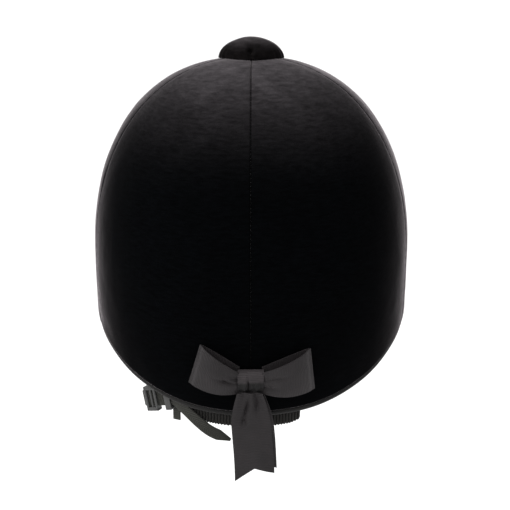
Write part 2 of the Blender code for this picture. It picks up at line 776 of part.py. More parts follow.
def chin_straps():
    whole = loop_line(0, 1)[1]
    line, _ = loop_line(0.0, strap_length_to(SOCKET[0] - 0.0004))
    left = in_loop(ribbon("chin_strap_left", line, upright, WEBBING_WIDTH, WEBBING, WEB_BLACK))
    line, _ = loop_line(strap_length_to(PLUG[1] - 0.0070), whole)
    right = in_loop(ribbon("chin_strap_right", line, upright, WEBBING_WIDTH, WEBBING, WEB_BLACK))
    return left, right


def buckle_block(name, start, end, width, thickness, finish=None, y=0.0, out=0.0, bevel=0.0):
    """A box on the left leg, from start to end along it. One with no finish is a cutter."""
    collection = None if finish else cutters
    obj = box(name, (end - start, width, thickness), finish, bevel, collection)
    obj.matrix_world = leg_placing((start + end) / 2, BUCKLE_OUT + out) @ Matrix.Translation((0, y, 0))
    return obj if finish else hidden(obj)


def buckle():
    width, thickness = BUCKLE
    inner = thickness - 0.0022
    socket = buckle_block("buckle_socket", *SOCKET, width, thickness, BUCKLE_BLACK, bevel=0.0008)
    boolean(socket, buckle_block("socket_cavity", SOCKET[0] + 0.0040, 0.05, width - 0.0030, inner))
    boolean(socket, buckle_block("socket_windows", PRONG_TIP - 0.0010, 0.05, width + 0.01, inner))

    plug = buckle_block("buckle_plug", *PLUG, width, thickness - 0.0006, BUCKLE_BLACK, bevel=0.0008)
    tongue = buckle_block("plug_tongue", PRONG_TIP, PLUG[0] + 0.002, *PLUG_TONGUE, out=BUCKLE_OUT)
    boolean(plug, tongue, "UNION")
    slot = (WEBBING_WIDTH + 0.0012, WEBBING + 0.0008)
    boolean(plug, buckle_block("plug_slot", PLUG[0] - 0.005, 0.06, *slot, out=-BUCKLE_OUT))

    wide, thick = PRONG
    for name, side in (("buckle_prong_upper", -1), ("buckle_prong_lower", 1)):
        y = side * PRONG_Y
        stem = buckle_block(name, PRONG_TIP, PLUG[0] - 0.0004, wide, thick, BUCKLE_BLACK, y, PRONG_OUT)
        head = (PRONG_TIP + 0.0008, PRONG_TIP + 0.0075, 0.0034, thick)
        boolean(stem, buckle_block(name + "_head", *head, None, y + side * 0.0016, PRONG_OUT), "UNION")


def chin_adjuster():
    """A slide on the right leg of the strap: a sleeve with a bar, which travels along the webbing."""
    placing = leg_placing(0.028)
    mirrored = Matrix.Diagonal((-1, 1, 1, 1))
    centre = mirrored @ placing.translation
    along = mirrored.to_3x3() @ placing.col[0].to_3d()
    turn = loop_frame().to_3x3()
    frame = box("chin_adjuster", (0.0110, 0.0210, 0.0046), BUCKLE_BLACK, 0.0008)
    frame.matrix_world = basis(along, turn @ Vector((0, 0, 1)), centre)
    opening = (0.05, WEBBING_WIDTH + 0.0014, WEBBING + 0.0014)
    slot = hidden(box("adjuster_slot", opening, None, collection=cutters))
    slot.matrix_world = frame.matrix_world.copy()
    boolean(frame, slot)


def chin_cup():
    """A padded cup between the strap and the chin."""
    bm = bmesh.new()
    bmesh.ops.create_cube(bm, size=1.0)
    bmesh.ops.subdivide_edges(bm, edges=bm.edges, cuts=2, use_grid_fill=True)
    for vertex in bm.verts:
        x, y, z = vertex.co
        vertex.co = (x * 0.062, y * 0.0070 + LOOP_DROP - 0.0062 - 22 * (x * 0.062) ** 2 * 0.5, z * 0.0240)
    cup = in_loop(mesh_object("chin_cup", bm, LINING_GREY))
    modifier = cup.modifiers.new("soft", "SUBSURF")
    modifier.levels = modifier.render_levels = 1


def side_rivets():
    """The rivets that hold the chin strap to the shell, with their axes along X."""
    length = HALF_WIDTH - SHELL[0] - 0.0006 - PIVOT_X
    profile = [
        (0, length),
        (RIVET_SHANK, length),
        (RIVET_SHANK, -WEBBING / 2 - GAP),
        (RIVET_HEAD, -WEBBING / 2 - GAP),
        (RIVET_HEAD, -WEBBING / 2 - GAP - 0.0006),
        (RIVET_HEAD * 0.7, -WEBBING / 2 - GAP - 0.0015),
        (0, -WEBBING / 2 - GAP - 0.0018),
    ]
    for name, side in (("pivot_rivet_left", 1), ("pivot_rivet_right", -1)):
        rivet = turned(name, profile, STEEL, 16)
        rivet.matrix_world = basis((0, 1, 0), (0, 0, side), (side * PIVOT_X, *PIVOT))


def nape_rivets():
    """The rivets that hold the nape straps, square to the shell. Their placings are given back."""
    placings = []
    for name, azimuth in (("nape_rivet_left", NAPE_ANCHOR[0]), ("nape_rivet_right", 360 - NAPE_ANCHOR[0])):
        place, out = inside(azimuth, NAPE_ANCHOR[1])
        head = -WEBBING / 2 - GAP
        profile = [
            (0, 0.0268),
            (0.0022, 0.0268),
            (0.0022, head),
            (0.0048, head),
            (0.0048, head - 0.0006),
            (0.0032, head - 0.0014),
            (0, head - 0.0016),
        ]
        rivet = turned(name, profile, STEEL, 14)
        rivet.matrix_world = basis((0, 0, 1), out.cross(Vector((0, 0, 1))), place)
        placings.append(rivet.matrix_world.copy())
    return placings


def joint_empties():
    """A piece that swings hangs on an empty on its hinge, and one that slides on an empty on its track."""
    right_leg = Matrix.Diagonal((-1, 1, 1, 1)) @ leg_placing(0.028)
    plug_end = leg_placing(PLUG[0], BUCKLE_OUT)
    places = {
        "chin_hinge": (0, *PIVOT),
        "chin_adjuster_track": right_leg.translation,
        "plug_track": plug_end.translation,
        "prong_upper_hinge": plug_end @ Vector((0, -PRONG_Y, 0)),
        "prong_lower_hinge": plug_end @ Vector((0, PRONG_Y, 0)),
        "nape_adjuster_track": SLIDE_CENTRE,
        "tail_hinge": (0, TAIL_HINGE_Y, TAIL_TOP),
    }
    hangs = {
        "chin_hinge": ("chin_strap_left", "chin_strap_right", "chin_cup", "buckle_socket"),
        "chin_adjuster_track": ("chin_adjuster",),
        "plug_track": ("buckle_plug",),
        "prong_upper_hinge": ("buckle_prong_upper",),
        "prong_lower_hinge": ("buckle_prong_lower",),
        "nape_adjuster_track": ("nape_adjuster",),
        "tail_hinge": ("bow_tail_front", "bow_tail_rear"),
    }
    inner = {"chin_adjuster_track": "chin_hinge", "plug_track": "chin_hinge"}
    inner |= {"prong_upper_hinge": "plug_track", "prong_lower_hinge": "plug_track"}
    empties = {}
    for name, place in places.items():
        empties[name] = bpy.data.objects.new(name, None)
        empties[name].empty_display_size = 0.01
        empties[name].matrix_world = Matrix.Translation(place)
        parts.objects.link(empties[name])
    bpy.context.view_layer.update()
    for name, pieces in hangs.items():
        for piece in pieces:
            bpy.data.objects[piece].parent = empties[name]
            bpy.data.objects[piece].matrix_parent_inverse = empties[name].matrix_world.inverted()
    for name, outer in inner.items():
        empties[name].parent = empties[outer]
        empties[name].matrix_parent_inverse = empties[outer].matrix_world.inverted()


# ---- The whole helmet --------------------------------------------------------------------------------
def build():
    clear_scene()
    cover_panels()
    shell = dome("outer_shell", SHELL, LEVELS, BLACK_SHELL, hole=STUD_RADIUS + 0.0008)
    liner = dome("impact_liner", LINER, (1.985, *LEVELS[1:]), FOAM_BLACK, hole=VENT_RADIUS)
    dome("crown_lining", LINING, LINING_LEVELS, LINING_GREY, hole=VENT_RADIUS)
    band = dome("headband", HEADBAND, HEADBAND_LEVELS, LINING_GREY)
    crown_pad()
    rim_binding()
    peak()
    top_button()
    bow()
    bow_tail("bow_tail_front", TAIL_FRONT_Y, 0.0006, -0.0020, FRONT_TIPS, 0)
    bow_tail("bow_tail_rear", TAIL_REAR_Y, 0.0002, -0.0042, REAR_TIPS, -3)

    strap_left, strap_right = nape_harness()
    nape_adjuster()
    nape_tongue()

    chin_left, chin_right = chin_straps()
    buckle()
    chin_adjuster()
    chin_cup()
    side_rivets()

    pivot_hole = cylinder("pivot_hole", RIVET_SHANK + GAP, 0.3)
    pivot_hole.matrix_world = basis((0, 1, 0), (0, 0, 1), (0, *PIVOT))
    for obj in (shell, liner, band, chin_left, chin_right):
        boolean(obj, pivot_hole)
    for i, placing in enumerate(nape_rivets()):
        hole = cylinder(f"nape_hole_{i}", 0.0022 + GAP, 0.06)
        hole.matrix_world = placing
        for obj in (shell, liner, band, (strap_left, strap_right)[i]):
            boolean(obj, hole)
    joint_empties()


build()
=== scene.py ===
"""Looks of the velvet riding helmet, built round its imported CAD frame.

Every place is worked out from the helmet's own dimensions, in metres, in the CAD frame: +Z up, the wearer faces
-Y, the wearer's left is +X. An azimuth is in degrees, 0 at the front, 90 at the wearer's left, 180 at the back.
"""

from math import atan2, cos, pi, radians, sin

import bmesh
import bpy
import numpy as np
from mathutils import Matrix, Vector, noise


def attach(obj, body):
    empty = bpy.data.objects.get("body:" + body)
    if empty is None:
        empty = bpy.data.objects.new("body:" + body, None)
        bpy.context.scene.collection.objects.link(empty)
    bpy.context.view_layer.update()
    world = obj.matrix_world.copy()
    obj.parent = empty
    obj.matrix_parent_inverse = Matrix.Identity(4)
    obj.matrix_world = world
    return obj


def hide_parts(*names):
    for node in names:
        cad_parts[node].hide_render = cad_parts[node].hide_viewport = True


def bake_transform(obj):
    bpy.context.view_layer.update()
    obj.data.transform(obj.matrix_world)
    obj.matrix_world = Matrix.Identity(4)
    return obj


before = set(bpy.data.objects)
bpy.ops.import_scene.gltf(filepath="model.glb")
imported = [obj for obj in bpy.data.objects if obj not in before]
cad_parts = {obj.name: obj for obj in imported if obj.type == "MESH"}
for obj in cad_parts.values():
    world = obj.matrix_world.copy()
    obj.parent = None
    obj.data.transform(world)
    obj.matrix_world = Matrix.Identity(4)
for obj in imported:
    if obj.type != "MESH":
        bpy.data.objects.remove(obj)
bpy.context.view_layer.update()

# ---- The helmet's dimensions, as the CAD has them ----
HALF_WIDTH, HALF_LENGTH, CROWN_HEIGHT = 0.104, 0.132, 0.1232
PLAN_POWER, SIDE_POWER, LENGTH_POWER = 2.25, 2.30, 2.05
NAPE_INSET, NAPE_DEPTH, INSET_POWER = 0.14, 0.076, 2.2
BUTTON_Y = -0.015
# Azimuth and height of the lower edge, from the front to the back.
RIM_HEIGHTS = (
    (0, -0.012),
    (35, -0.017),
    (70, -0.031),
    (103, -0.041),
    (125, -0.0505),
    (142, -0.063),
    (158, -0.0735),
    (170, -0.0775),
    (180, -0.0785),
)
# How far the outer and inner faces lie under the helmet's outer surface.
SHELL, LINER = (0.0016, 0.0046), (0.0051, 0.0200)
SIDE_SEAM = 121.0
BUTTON_RADIUS, BUTTON_HEIGHT, BUTTON_BASE, BUTTON_OVAL = 0.0218, 0.0135, -0.0009, 0.24
PEAK_END, PEAK_LENGTH, PEAK_SLOPE, PEAK_BEND, PEAK_RISE = 52.0, 0.050, 0.20, 2.0, 0.0055
PEAK_CHANNELS = (0.005, 0.010, 0.015)
BINDING_RADIUS, PIPING_RADIUS = 0.0014, 0.0021
RIBBON_WIDTH, RIBBON = 0.025, 0.0006
KNOT, KNOT_Z = (0.0155, 0.0060, 0.0160), -0.0520
LOOP_FLARE = 0.0040
TAIL_TOP, TAIL_TUCK = -0.0620, 0.0032
# Heights of a tail's left corner, notch and right corner.
FRONT_TIPS, REAR_TIPS = (-0.1105, -0.1078, -0.1163), (-0.1080, -0.1058, -0.1106)
TAIL_FRONT_Y, TAIL_REAR_Y, TAIL_HINGE_Y = 0.1290, 0.1266, 0.1278
WEBBING_WIDTH, WEBBING, NAPE_WEBBING_WIDTH = 0.016, 0.0014, 0.010
NAPE_ANCHOR = (120.0, -0.014)
# First and last azimuth, drop below the rim, height, thickness and pitch of its gathers.
ELASTIC_START, ELASTIC_END, ELASTIC_DROP = 160.0, 196.5, 0.0064
ELASTIC_HEIGHT, ELASTIC, ELASTIC_PITCH = 0.0110, 0.0022, 0.0019
SLIDE_CENTRE, SLIDE_RUN = (0.0622, 0.0842, -0.0803), (-0.82, 0.47, 0.21)
KEEPER_AT = 0.0138
PIVOT, PIVOT_X, TUCK_ANGLE = (-0.002, -0.026), 0.0742, -22.0
STRAP_LEAD, LOOP_STRAIGHT, LOOP_CORNER, LOOP_DROP = 0.007, 0.008, (0.0560, 0.0620), 0.0885
# Where the socket starts and the plug ends on the left leg, and how deep the webbing goes into each.
SOCKET_START, SOCKET_REACH, PLUG_END, PLUG_REACH = 0.0140, 0.0030, 0.0410, 0.0068
Z = np.array((0.0, 0.0, 1.0))

# ---- Detail that only the looks have ----
NOISE_REACH = (0.3, 0.7)
# Distances from a seam at which a velvet panel has a column of points.
BY_SEAM = np.array([0, 0.00012, 0.00026, 0.00042, 0.0006, 0.0008, 0.0011, 0.0015, 0.0021, 0.003, 0.0045, 0.0065])
# A stitch's places along its length, with the lift above the cloth and the thickness at each.
STITCH = ((-0.5, -1.4, 0.35), (-0.36, 0.1, 0.9), (0.0, 0.75, 1.0), (0.36, 0.1, 0.9), (0.5, -1.4, 0.35))
STITCH_SIDES = 6
# Pitch, length and radius of the stitches in each kind of sewing.
SEAM_SEWING, RIM_SEWING = (0.0026, 0.0017, 0.00019), (0.0042, 0.0028, 0.0002)
PEAK_SEWING, STRAP_SEWING = (0.0030, 0.0021, 0.0002), (0.0024, 0.0016, 0.0002)
# How much of a chin strap's end is sewn down, and how far its two rows are from its middle.
SEWN_END, SEWN_ASIDE = 0.0155, 0.0062
# Depths of the front and back of the soft parts inside, under the helmet's outer surface.
LINING, HEADBAND = (0.0214, 0.0207), (0.0262, 0.0209)
QUILT_COLUMNS, QUILT_PITCH, QUILT_PUFF = 12, 0.030, 0.0038
HEADBAND_CHANNELS = 16
# How far under the peak's top its pieces start and end.
PEAK_COVER, PEAK_LINING, PEAK_SEAMS, PEAK_EDGE = (0.0001, 0.0013), (0.0042, 0.0052), 0.0050, 0.0026
CUP_HALF_LENGTH, CUP_HALF_HEIGHT, CUP_THICKNESS, CUP_BEND = 0.0295, 0.0108, 0.0019, 11


# ---- Shading ----
class Finish:
    """A material and the nodes that feed its shader."""

    def __init__(self, name):
        self.material = bpy.data.materials.new(name)
        self.material.use_nodes = True
        self.tree = self.material.node_tree
        self.shader = self.tree.nodes["Principled BSDF"]

    def put(self, socket, value):
        if isinstance(value, bpy.types.NodeSocket):
            self.tree.links.new(value, socket)
        else:
            socket.default_value = value

    def node(self, kind, inputs=None, **settings):
        made = self.tree.nodes.new("ShaderNode" + kind)
        for name, value in settings.items():
            setattr(made, name, value)
        for name, value in (inputs or {}).items():
            self.put(made.inputs[name], value)
        return made

    def set(self, **values):
        for name, value in values.items():
            self.put(self.shader.inputs[name.replace("_", " ")], value)

    def place(self, scale=(1, 1, 1)):
        coordinates = self.node("TexCoord").outputs["Object"]
        return self.node("Mapping", {"Vector": coordinates, "Scale": scale}).outputs[0]

    def height(self):
        return self.node("SeparateXYZ", {"Vector": self.place()}).outputs[2]

    def noise(self, scale, detail=2.0, stretch=(1, 1, 1), roughness=0.5, distortion=0.0):
        inputs = {"Vector": self.place(stretch), "Scale": scale, "Detail": detail}
        inputs |= {"Roughness": roughness, "Distortion": distortion}
        return self.node("TexNoise", inputs).outputs["Fac"]

    def math(self, operation, first, second=0.0, third=0.0):
        made = self.node("Math", operation=operation)
        for socket, value in zip(made.inputs, (first, second, third)):
            self.put(socket, value)
        return made.outputs[0]

    def times(self, product, *factors):
        for factor in factors:
            product = self.math("MULTIPLY", product, factor)
        return product

    def span(self, value, low, high, to_low=0.0, to_high=1.0):
        made = self.node("MapRange", {"From Min": low, "From Max": high, "To Min": to_low, "To Max": to_high})
        self.put(made.inputs["Value"], value)
        return made.outputs[0]

    def spread(self, value, low, high):
        """A noise's usual reach, taken to low and high."""
        return self.span(value, *NOISE_REACH, low, high)

    def mix(self, share, first, second):
        made = self.node("Mix", data_type="RGBA")
        self.put(made.inputs["Factor"], share)
        # The colour sockets share their names with others on this node, so they're taken by number.
        self.put(made.inputs[6], (*first, 1))
        self.put(made.inputs[7], (*second, 1))
        return made.outputs[2]

    def tinted(self, shade, colour):
        """A colour made lighter and darker by the shade."""
        made = self.node("CombineColor")
        for socket, value in zip(made.inputs, colour):
            self.put(socket, self.times(shade, value))
        return made.outputs[0]

    def ribs(self, axis, pitch):
        """0 to 1 waves across one of the UV directions, a pitch apart."""
        parts = self.node("SeparateXYZ", {"Vector": self.node("TexCoord").outputs["UV"]})
        turned = self.times(parts.outputs[axis], 2 * pi / pitch)
        return self.math("MULTIPLY_ADD", self.math("SINE", turned), 0.5, 0.5)

    def bump(self, height, distance, strength=1.0, under=None):
        made = self.node("Bump", {"Height": height, "Distance": distance, "Strength": strength})
        if under is not None:
            self.put(made.inputs["Normal"], under)
        return made.outputs[0]


def velvet(
    name, base=0.0009, tint=(0.52, 0.475, 0.495), crown=0.041, top_light_heights=(0.040, 0.121, 4.0), deep=(0.85, 1.0, 1.25)
):
    """Brushed pile, made greyer towards the top by painted light from above. The argument after crown gives the
    height where that painted light begins, where it is full, and how late it sets in.
    """
    f = Finish(name)
    brushed = f.noise(26, 4, (1.0, 1.0, 0.45), distortion=0.8)
    rows = f.noise(400, 3, (0.40, 0.40, 1.7), roughness=0.6)
    pile = f.noise(2300, 2)
    dust = f.node("TexVoronoi", {"Vector": f.place(), "Scale": 70.0, "Randomness": 1.0})
    each = f.node("SeparateColor", {"Color": dust.outputs["Color"]}).outputs[0]
    speck = f.span(dust.outputs["Distance"], 0.016, 0.030, 1.0, 0.0)
    speck = f.times(speck, f.math("GREATER_THAN", each, 0.90))
    shade = f.times(f.spread(brushed, 0.84, 1.18), f.spread(rows, 0.64, 1.40), f.spread(pile, 0.7, 1.3))
    shade = f.math("MULTIPLY_ADD", speck, 9.0, shade)
    # Painted light from above: the crown is made greyer than the sides, by height, and the brushed noise makes the
    # edge of that lightening uneven.
    top_light = f.math("ADD", f.spread(brushed, -0.0014, 0.0014), f.height())
    top_light = f.math("POWER", f.span(top_light, *top_light_heights[:2]), top_light_heights[2])
    top_light_tint = (1.0, 0.90, 0.96)
    tones = [f.math("MULTIPLY_ADD", top_light, crown * pale, base * dark) for pale, dark in zip(top_light_tint, deep)]
    f.set(Base_Color=f.tinted(shade, tones), Roughness=f.spread(brushed, 0.88, 1.0))
    f.set(Specular_IOR_Level=0.01, Sheen_Weight=1.0, Sheen_Roughness=0.19, Sheen_Tint=(*tint, 1))
    nap = f.bump(rows, 0.0003, 0.35, f.bump(pile, 0.0001, 0.5))
    f.set(Normal=f.bump(brushed, 0.0015, 0.25, nap))
    return f.material


def grosgrain(name, base=(0.0122, 0.0101, 0.0109), pitch=0.00105, sheen=0.32, painted_shadow=False):
    """Ribbon with cross ribs a pitch apart."""
    f = Finish(name)
    ribs, yarn, cloud = f.ribs(0, pitch), f.noise(1500), f.noise(60, 3)
    shade = f.times(f.span(ribs, 0.0, 1.0, 0.72, 1.22), f.spread(cloud, 0.70, 1.30), f.spread(yarn, 0.74, 1.26))
    if painted_shadow:
        # Painted shadow: the lower half of the knot is darkened, as if it lay in its own shadow.
        shade = f.times(shade, f.span(f.height(), KNOT_Z - 0.0004, KNOT_Z + 0.0014, 0.10, 1.15))
    f.set(Base_Color=f.tinted(shade, base), Roughness=f.spread(yarn, 0.56, 0.72), Specular_IOR_Level=0.22)
    f.set(Sheen_Weight=sheen, Sheen_Roughness=0.4, Sheen_Tint=(0.22, 0.20, 0.21, 1))
    f.set(Normal=f.bump(ribs, 0.00016, 0.9, f.bump(yarn, 0.0001, 0.5)))
    return f.material


def webbing(name, base=(0.031, 0.031, 0.027), pitch=0.0013, gathers=0.0):
    """A flat weave: short floats that step across the strap in a herringbone."""
    f = Finish(name)
    parts = f.node("SeparateXYZ", {"Vector": f.node("TexCoord").outputs["UV"]})
    across = f.math("PINGPONG", parts.outputs[1], 0.0035)
    slant = f.math("ADD", f.times(parts.outputs[0], 2 * pi / pitch), f.times(across, 2600))
    weave = f.math("MULTIPLY_ADD", f.math("SINE", slant), 0.5, 0.5)
    height = f.math("MULTIPLY_ADD", f.ribs(1, 0.0007), 0.45, weave)
    fuzz = f.noise(1800)
    shade = f.times(f.span(height, 0.0, 1.45, 0.40, 1.45), f.spread(fuzz, 0.7, 1.3))
    # Painted shade and light: where gathers are given, the colour darkens in the folds between the gathers and
    # lightens on their crests, a gathers' pitch apart.
    if gathers:
        shade = f.times(shade, f.span(f.ribs(0, gathers), 0.1, 0.9, 0.30, 1.35))
    f.set(Base_Color=f.tinted(shade, base), Roughness=f.spread(fuzz, 0.66, 0.84), Specular_IOR_Level=0.15)
    f.set(Sheen_Weight=0.15, Sheen_Roughness=0.4, Sheen_Tint=(0.2, 0.2, 0.19, 1))
    f.set(Normal=f.bump(height, 0.00018, 0.9, f.bump(fuzz, 0.0001, 0.5)))
    return f.material


def knit(name, base=(0.050, 0.050, 0.056)):
    """Knitted lining: small offset loops."""
    f = Finish(name)
    cells = f.node("TexVoronoi", {"Vector": f.place((1, 1, 1.5)), "Scale": 620.0, "Randomness": 0.35})
    loops, cloud, wear = cells.outputs["Distance"], f.noise(45, 3), f.noise(320)
    shade = f.times(f.span(loops, 0.1, 0.8, 1.25, 0.45), f.spread(cloud, 0.8, 1.2), f.spread(wear, 0.88, 1.12))
    f.set(Base_Color=f.tinted(shade, base), Roughness=f.spread(wear, 0.82, 0.96), Specular_IOR_Level=0.2)
    f.set(Sheen_Weight=0.5, Sheen_Roughness=0.5, Sheen_Tint=(0.3, 0.3, 0.32, 1))
    f.set(Normal=f.bump(loops, 0.0003, 0.8, f.bump(cloud, 0.001, 0.3)))
    return f.material


def beads(name, base=(0.020, 0.020, 0.022)):
    """Moulded bead foam: fused cells of 3 mm with fine lines between them."""
    f = Finish(name)
    cells = {"Vector": f.place(), "Scale": 330.0}
    line = f.node("TexVoronoi", cells, feature="DISTANCE_TO_EDGE").outputs["Distance"]
    each = f.node("TexVoronoi", cells).outputs["Color"]
    tone = f.node("SeparateColor", {"Color": each}).outputs[1]
    shade = f.times(f.span(line, 0.0, 0.09, 0.35, 1.0), f.span(tone, 0.0, 1.0, 0.75, 1.25))
    f.set(Base_Color=f.tinted(shade, base), Roughness=f.span(tone, 0.0, 1.0, 0.5, 0.75))
    f.set(Specular_IOR_Level=0.4, Normal=f.bump(f.span(line, 0.0, 0.25), 0.0004, 0.8))
    return f.material


def plastic(name, base, roughness=(0.30, 0.46)):
    """Moulded plastic with a fine grain and patches of duller skin."""
    f = Finish(name)
    grain, haze = f.noise(1300, 3), f.noise(90, 3)
    shade = f.times(f.spread(haze, 0.85, 1.2), f.spread(grain, 0.92, 1.08))
    f.set(Base_Color=f.tinted(shade, base), Roughness=f.spread(haze, *roughness), Specular_IOR_Level=0.5)
    f.set(Normal=f.bump(grain, 0.00006, 0.5))
    return f.material


def steel(name):
    """Plated steel, finely brushed."""
    f = Finish(name)
    brush, haze = f.noise(900, 3, (1, 1, 0.15)), f.noise(140, 3)
    f.set(Base_Color=f.mix(haze, (0.22, 0.22, 0.225), (0.40, 0.40, 0.41)), Metallic=1.0)
    f.set(Roughness=f.spread(brush, 0.22, 0.42), Normal=f.bump(brush, 0.00004, 0.6))
    return f.material


def thread(name, base=(0.020, 0.019, 0.020), gloss=0.3):
    """Twisted sewing thread."""
    f = Finish(name)
    twist = f.noise(2600)
    f.set(Base_Color=f.tinted(f.spread(twist, 0.5, 1.5), base), Roughness=f.spread(twist, 0.5, 0.7))
    f.set(Specular_IOR_Level=gloss, Normal=f.bump(twist, 0.00008, 0.8))
    return f.material


VELVET = velvet("velvet_pile")
# The button's velvet is greyer towards its top, over its own height, by painted light from above.
BUTTON_VELVET = velvet(
    "velvet_button", 0.0032, (0.40, 0.36, 0.375), 0.036, (0.1265, 0.1352, 1.8), (1.1, 0.92, 0.95)
)
BINDING = grosgrain("binding_tape", (0.0045, 0.0041, 0.0039), 0.0009, 0.12)
GROSGRAIN = grosgrain("grosgrain_ribbon")
# The knot's ribbon, with a painted shadow on its lower half.
KNOT_GROSGRAIN = grosgrain("grosgrain_knot", base=(0.0205, 0.0172, 0.0184), sheen=0.10, painted_shadow=True)
WEB = webbing("woven_webbing")
# Elastic web, with painted shade in the folds between its gathers.
ELASTIC_WEB = webbing("elastic_web", (0.0170, 0.0162, 0.0150), 0.0009, ELASTIC_PITCH)
KNIT = knit("knitted_lining")
PAD_KNIT = knit("pad_lining", (0.042, 0.042, 0.047))
BEADS = beads("bead_foam")
SHELL_PLASTIC = plastic("shell_moulding", (0.018, 0.018, 0.020), (0.40, 0.60))
ACETAL = plastic("buckle_acetal", (0.028, 0.028, 0.027))
STEEL = steel("plated_steel")
THREAD = thread("sewing_thread")
DARK_THREAD = thread("seam_thread", (0.0014, 0.0013, 0.0014), 0.03)


# ---- Numbers and grids ----
def unit(v):
    return v / np.maximum(np.linalg.norm(v, axis=-1, keepdims=True), 1e-12)


def clamp(v):
    return np.clip(v, 0, 1)


def bell(offset, reach):
    """1 where the offset is 0, and nearly 0 beyond twice the reach."""
    return np.exp(-((offset / reach) ** 2))


def grid(*parts):
    """Points, or other rows of numbers, from their parts."""
    return np.stack(np.broadcast_arrays(*parts), -1)


def steps(points, axis):
    """Distances run along one direction of a grid, from its start."""
    gaps = np.linalg.norm(np.diff(points, axis=axis), axis=-1)
    return np.concatenate([np.zeros_like(np.take(gaps, [0], axis)), np.cumsum(gaps, axis)], axis)


def along_run(at, run, values):
    """The values at one or more distances along a run."""
    return np.stack([np.interp(at, run, column) for column in values.T], -1)


def grid_normals(points):
    return unit(np.cross(np.gradient(points, axis=1), np.gradient(points, axis=0)))


def wobble(points, scale, seed=0.0):
    """Smooth noise from -1 to 1 at each point."""
    flat = points.reshape(-1, 3) * scale + seed
    return np.array([noise.noise(Vector(p)) for p in flat]).reshape(points.shape[:-1])


def smooth_line(points, count):
    """count points, evenly spaced, on a smooth curve through the given ones."""
    p = np.asarray(points, float)
    padded = np.concatenate([[2 * p[0] - p[1]], p, [2 * p[-1] - p[-2]]])
    dense = []
    for i in range(len(p) - 1):
        a, b, c, d = padded[i : i + 4]
        t = np.linspace(0, 1, 24, endpoint=i == len(p) - 2)[:, None]
        dense.append(
            0.5 * (2 * b + (c - a) * t + (2 * a - 5 * b + 4 * c - d) * t**2 + (3 * b - a - 3 * c + d) * t**3)
        )
    dense = np.concatenate(dense)
    run = steps(dense[None], 1)[0]
    return along_run(np.linspace(0, run[-1], count), run, dense)


# ---- Meshes ----
def add(name, data):
    """An object for a mesh, a light or a camera."""
    obj = bpy.data.objects.new(name, data)
    bpy.context.scene.collection.objects.link(obj)
    return obj


def closed_mesh(name, points, faces, uv=None):
    """A mesh with all its faces turned outwards."""
    mesh = bpy.data.meshes.new(name)
    mesh.from_pydata([tuple(p) for p in points], [], faces)
    if uv is not None:
        corners = np.empty(len(mesh.loops), int)
        mesh.loops.foreach_get("vertex_index", corners)
        mesh.uv_layers.new(name="UVMap").data.foreach_set("uv", np.asarray(uv, float)[corners].ravel())
    bm = bmesh.new()
    bm.from_mesh(mesh)
    bmesh.ops.recalc_face_normals(bm, faces=bm.faces)
    bm.to_mesh(mesh)
    bm.free()
    return mesh


def piece(name, points, faces, material, uv=None, body="helmet", sharp=50):
    """A visible mesh that rides on a body. Edges are sharp from an angle in degrees, or never where it is 0."""
    mesh = closed_mesh(name, points, faces, uv)
    mesh.shade_smooth()
    if sharp:
        mesh.set_sharp_from_angle(angle=radians(sharp))
    mesh.materials.append(material)
    obj = add(name, mesh)
    if body:
        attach(obj, body)
    return obj


def quads(rows, columns, wrap=False, start=0):
    """The faces of a grid of points, whose numbers begin at start."""
    index = np.arange(rows * columns).reshape(rows, columns) + start
    if wrap:
        index = np.concatenate([index, index[:, :1]], axis=1)
    return np.stack([index[:-1, :-1], index[:-1, 1:], index[1:, 1:], index[1:, :-1]], -1).reshape(-1, 4).tolist()


def slab_faces(rows, columns, wrap=False):
    """Two grids, one after the other in the list of points, joined round their edges."""
    other = rows * columns
    index = np.arange(other).reshape(rows, columns)
    if wrap:
        edges = [np.append(edge, edge[0]) for edge in (index[0], index[-1])]
    else:
        edges = [index[0], index[-1], index[:, 0], index[:, -1]]
    faces = quads(rows, columns, wrap) + quads(rows, columns, wrap, other)
    for edge in edges:
        faces += [[int(a), int(b), int(b) + other, int(a) + other] for a, b in zip(edge, edge[1:])]
    return faces


def tube_faces(rings, sides, start=0):
    """Rings of points joined into a tube with closed ends."""
    last = start + (rings - 1) * sides
    return quads(rings, sides, True, start) + [list(range(start, start + sides)), list(range(last, last + sides))]


def slab(name, front, back, material, uv=None, body="helmet", wrap=False, sharp=50):
    """A closed sheet between two grids of points. With wrap its columns join into a ring."""
    rows, columns = front.shape[:2]
    points = np.concatenate([front.reshape(-1, 3), back.reshape(-1, 3)])
    flat = np.zeros((rows * columns, 2)) if uv is None else uv.reshape(-1, 2)
    faces = slab_faces(rows, columns, wrap)
    return piece(name, points, faces, material, np.concatenate([flat, flat]), body, sharp)


def sweep(name, line, across, face, section, material, body="helmet", closed=False, sharp=50):
    """A section of (across, face) offsets carried along a line, and closed at its ends or into a ring."""
    section = np.asarray(section, float)
    if section.ndim == 2:
        section = np.broadcast_to(section, (len(line), *section.shape))
    rings = line[:, None] + section[..., :1] * across[:, None] + section[..., 1:] * face[:, None]
    rows, count = section.shape[:2]
    run = steps(line[None], 1)[0]
    girth = steps(np.concatenate([section, section[:, :1]], 1)[:1], 1)[0, :-1]
    if closed:
        last = (rows - 1) * count
        faces = quads(rows, count, True)
        faces += [[last + i, last + (i + 1) % count, (i + 1) % count, i] for i in range(count)]
    else:
        faces = tube_faces(rows, count)
    uv = grid(run[:, None], girth[None]).reshape(-1, 2)
    return piece(name, rings.reshape(-1, 3), faces, material, uv, body, sharp)


def round_section(radius, count=14):
    turns = np.arange(count) / count * 2 * pi
    return np.stack([radius * np.cos(turns), radius * np.sin(turns)], -1)


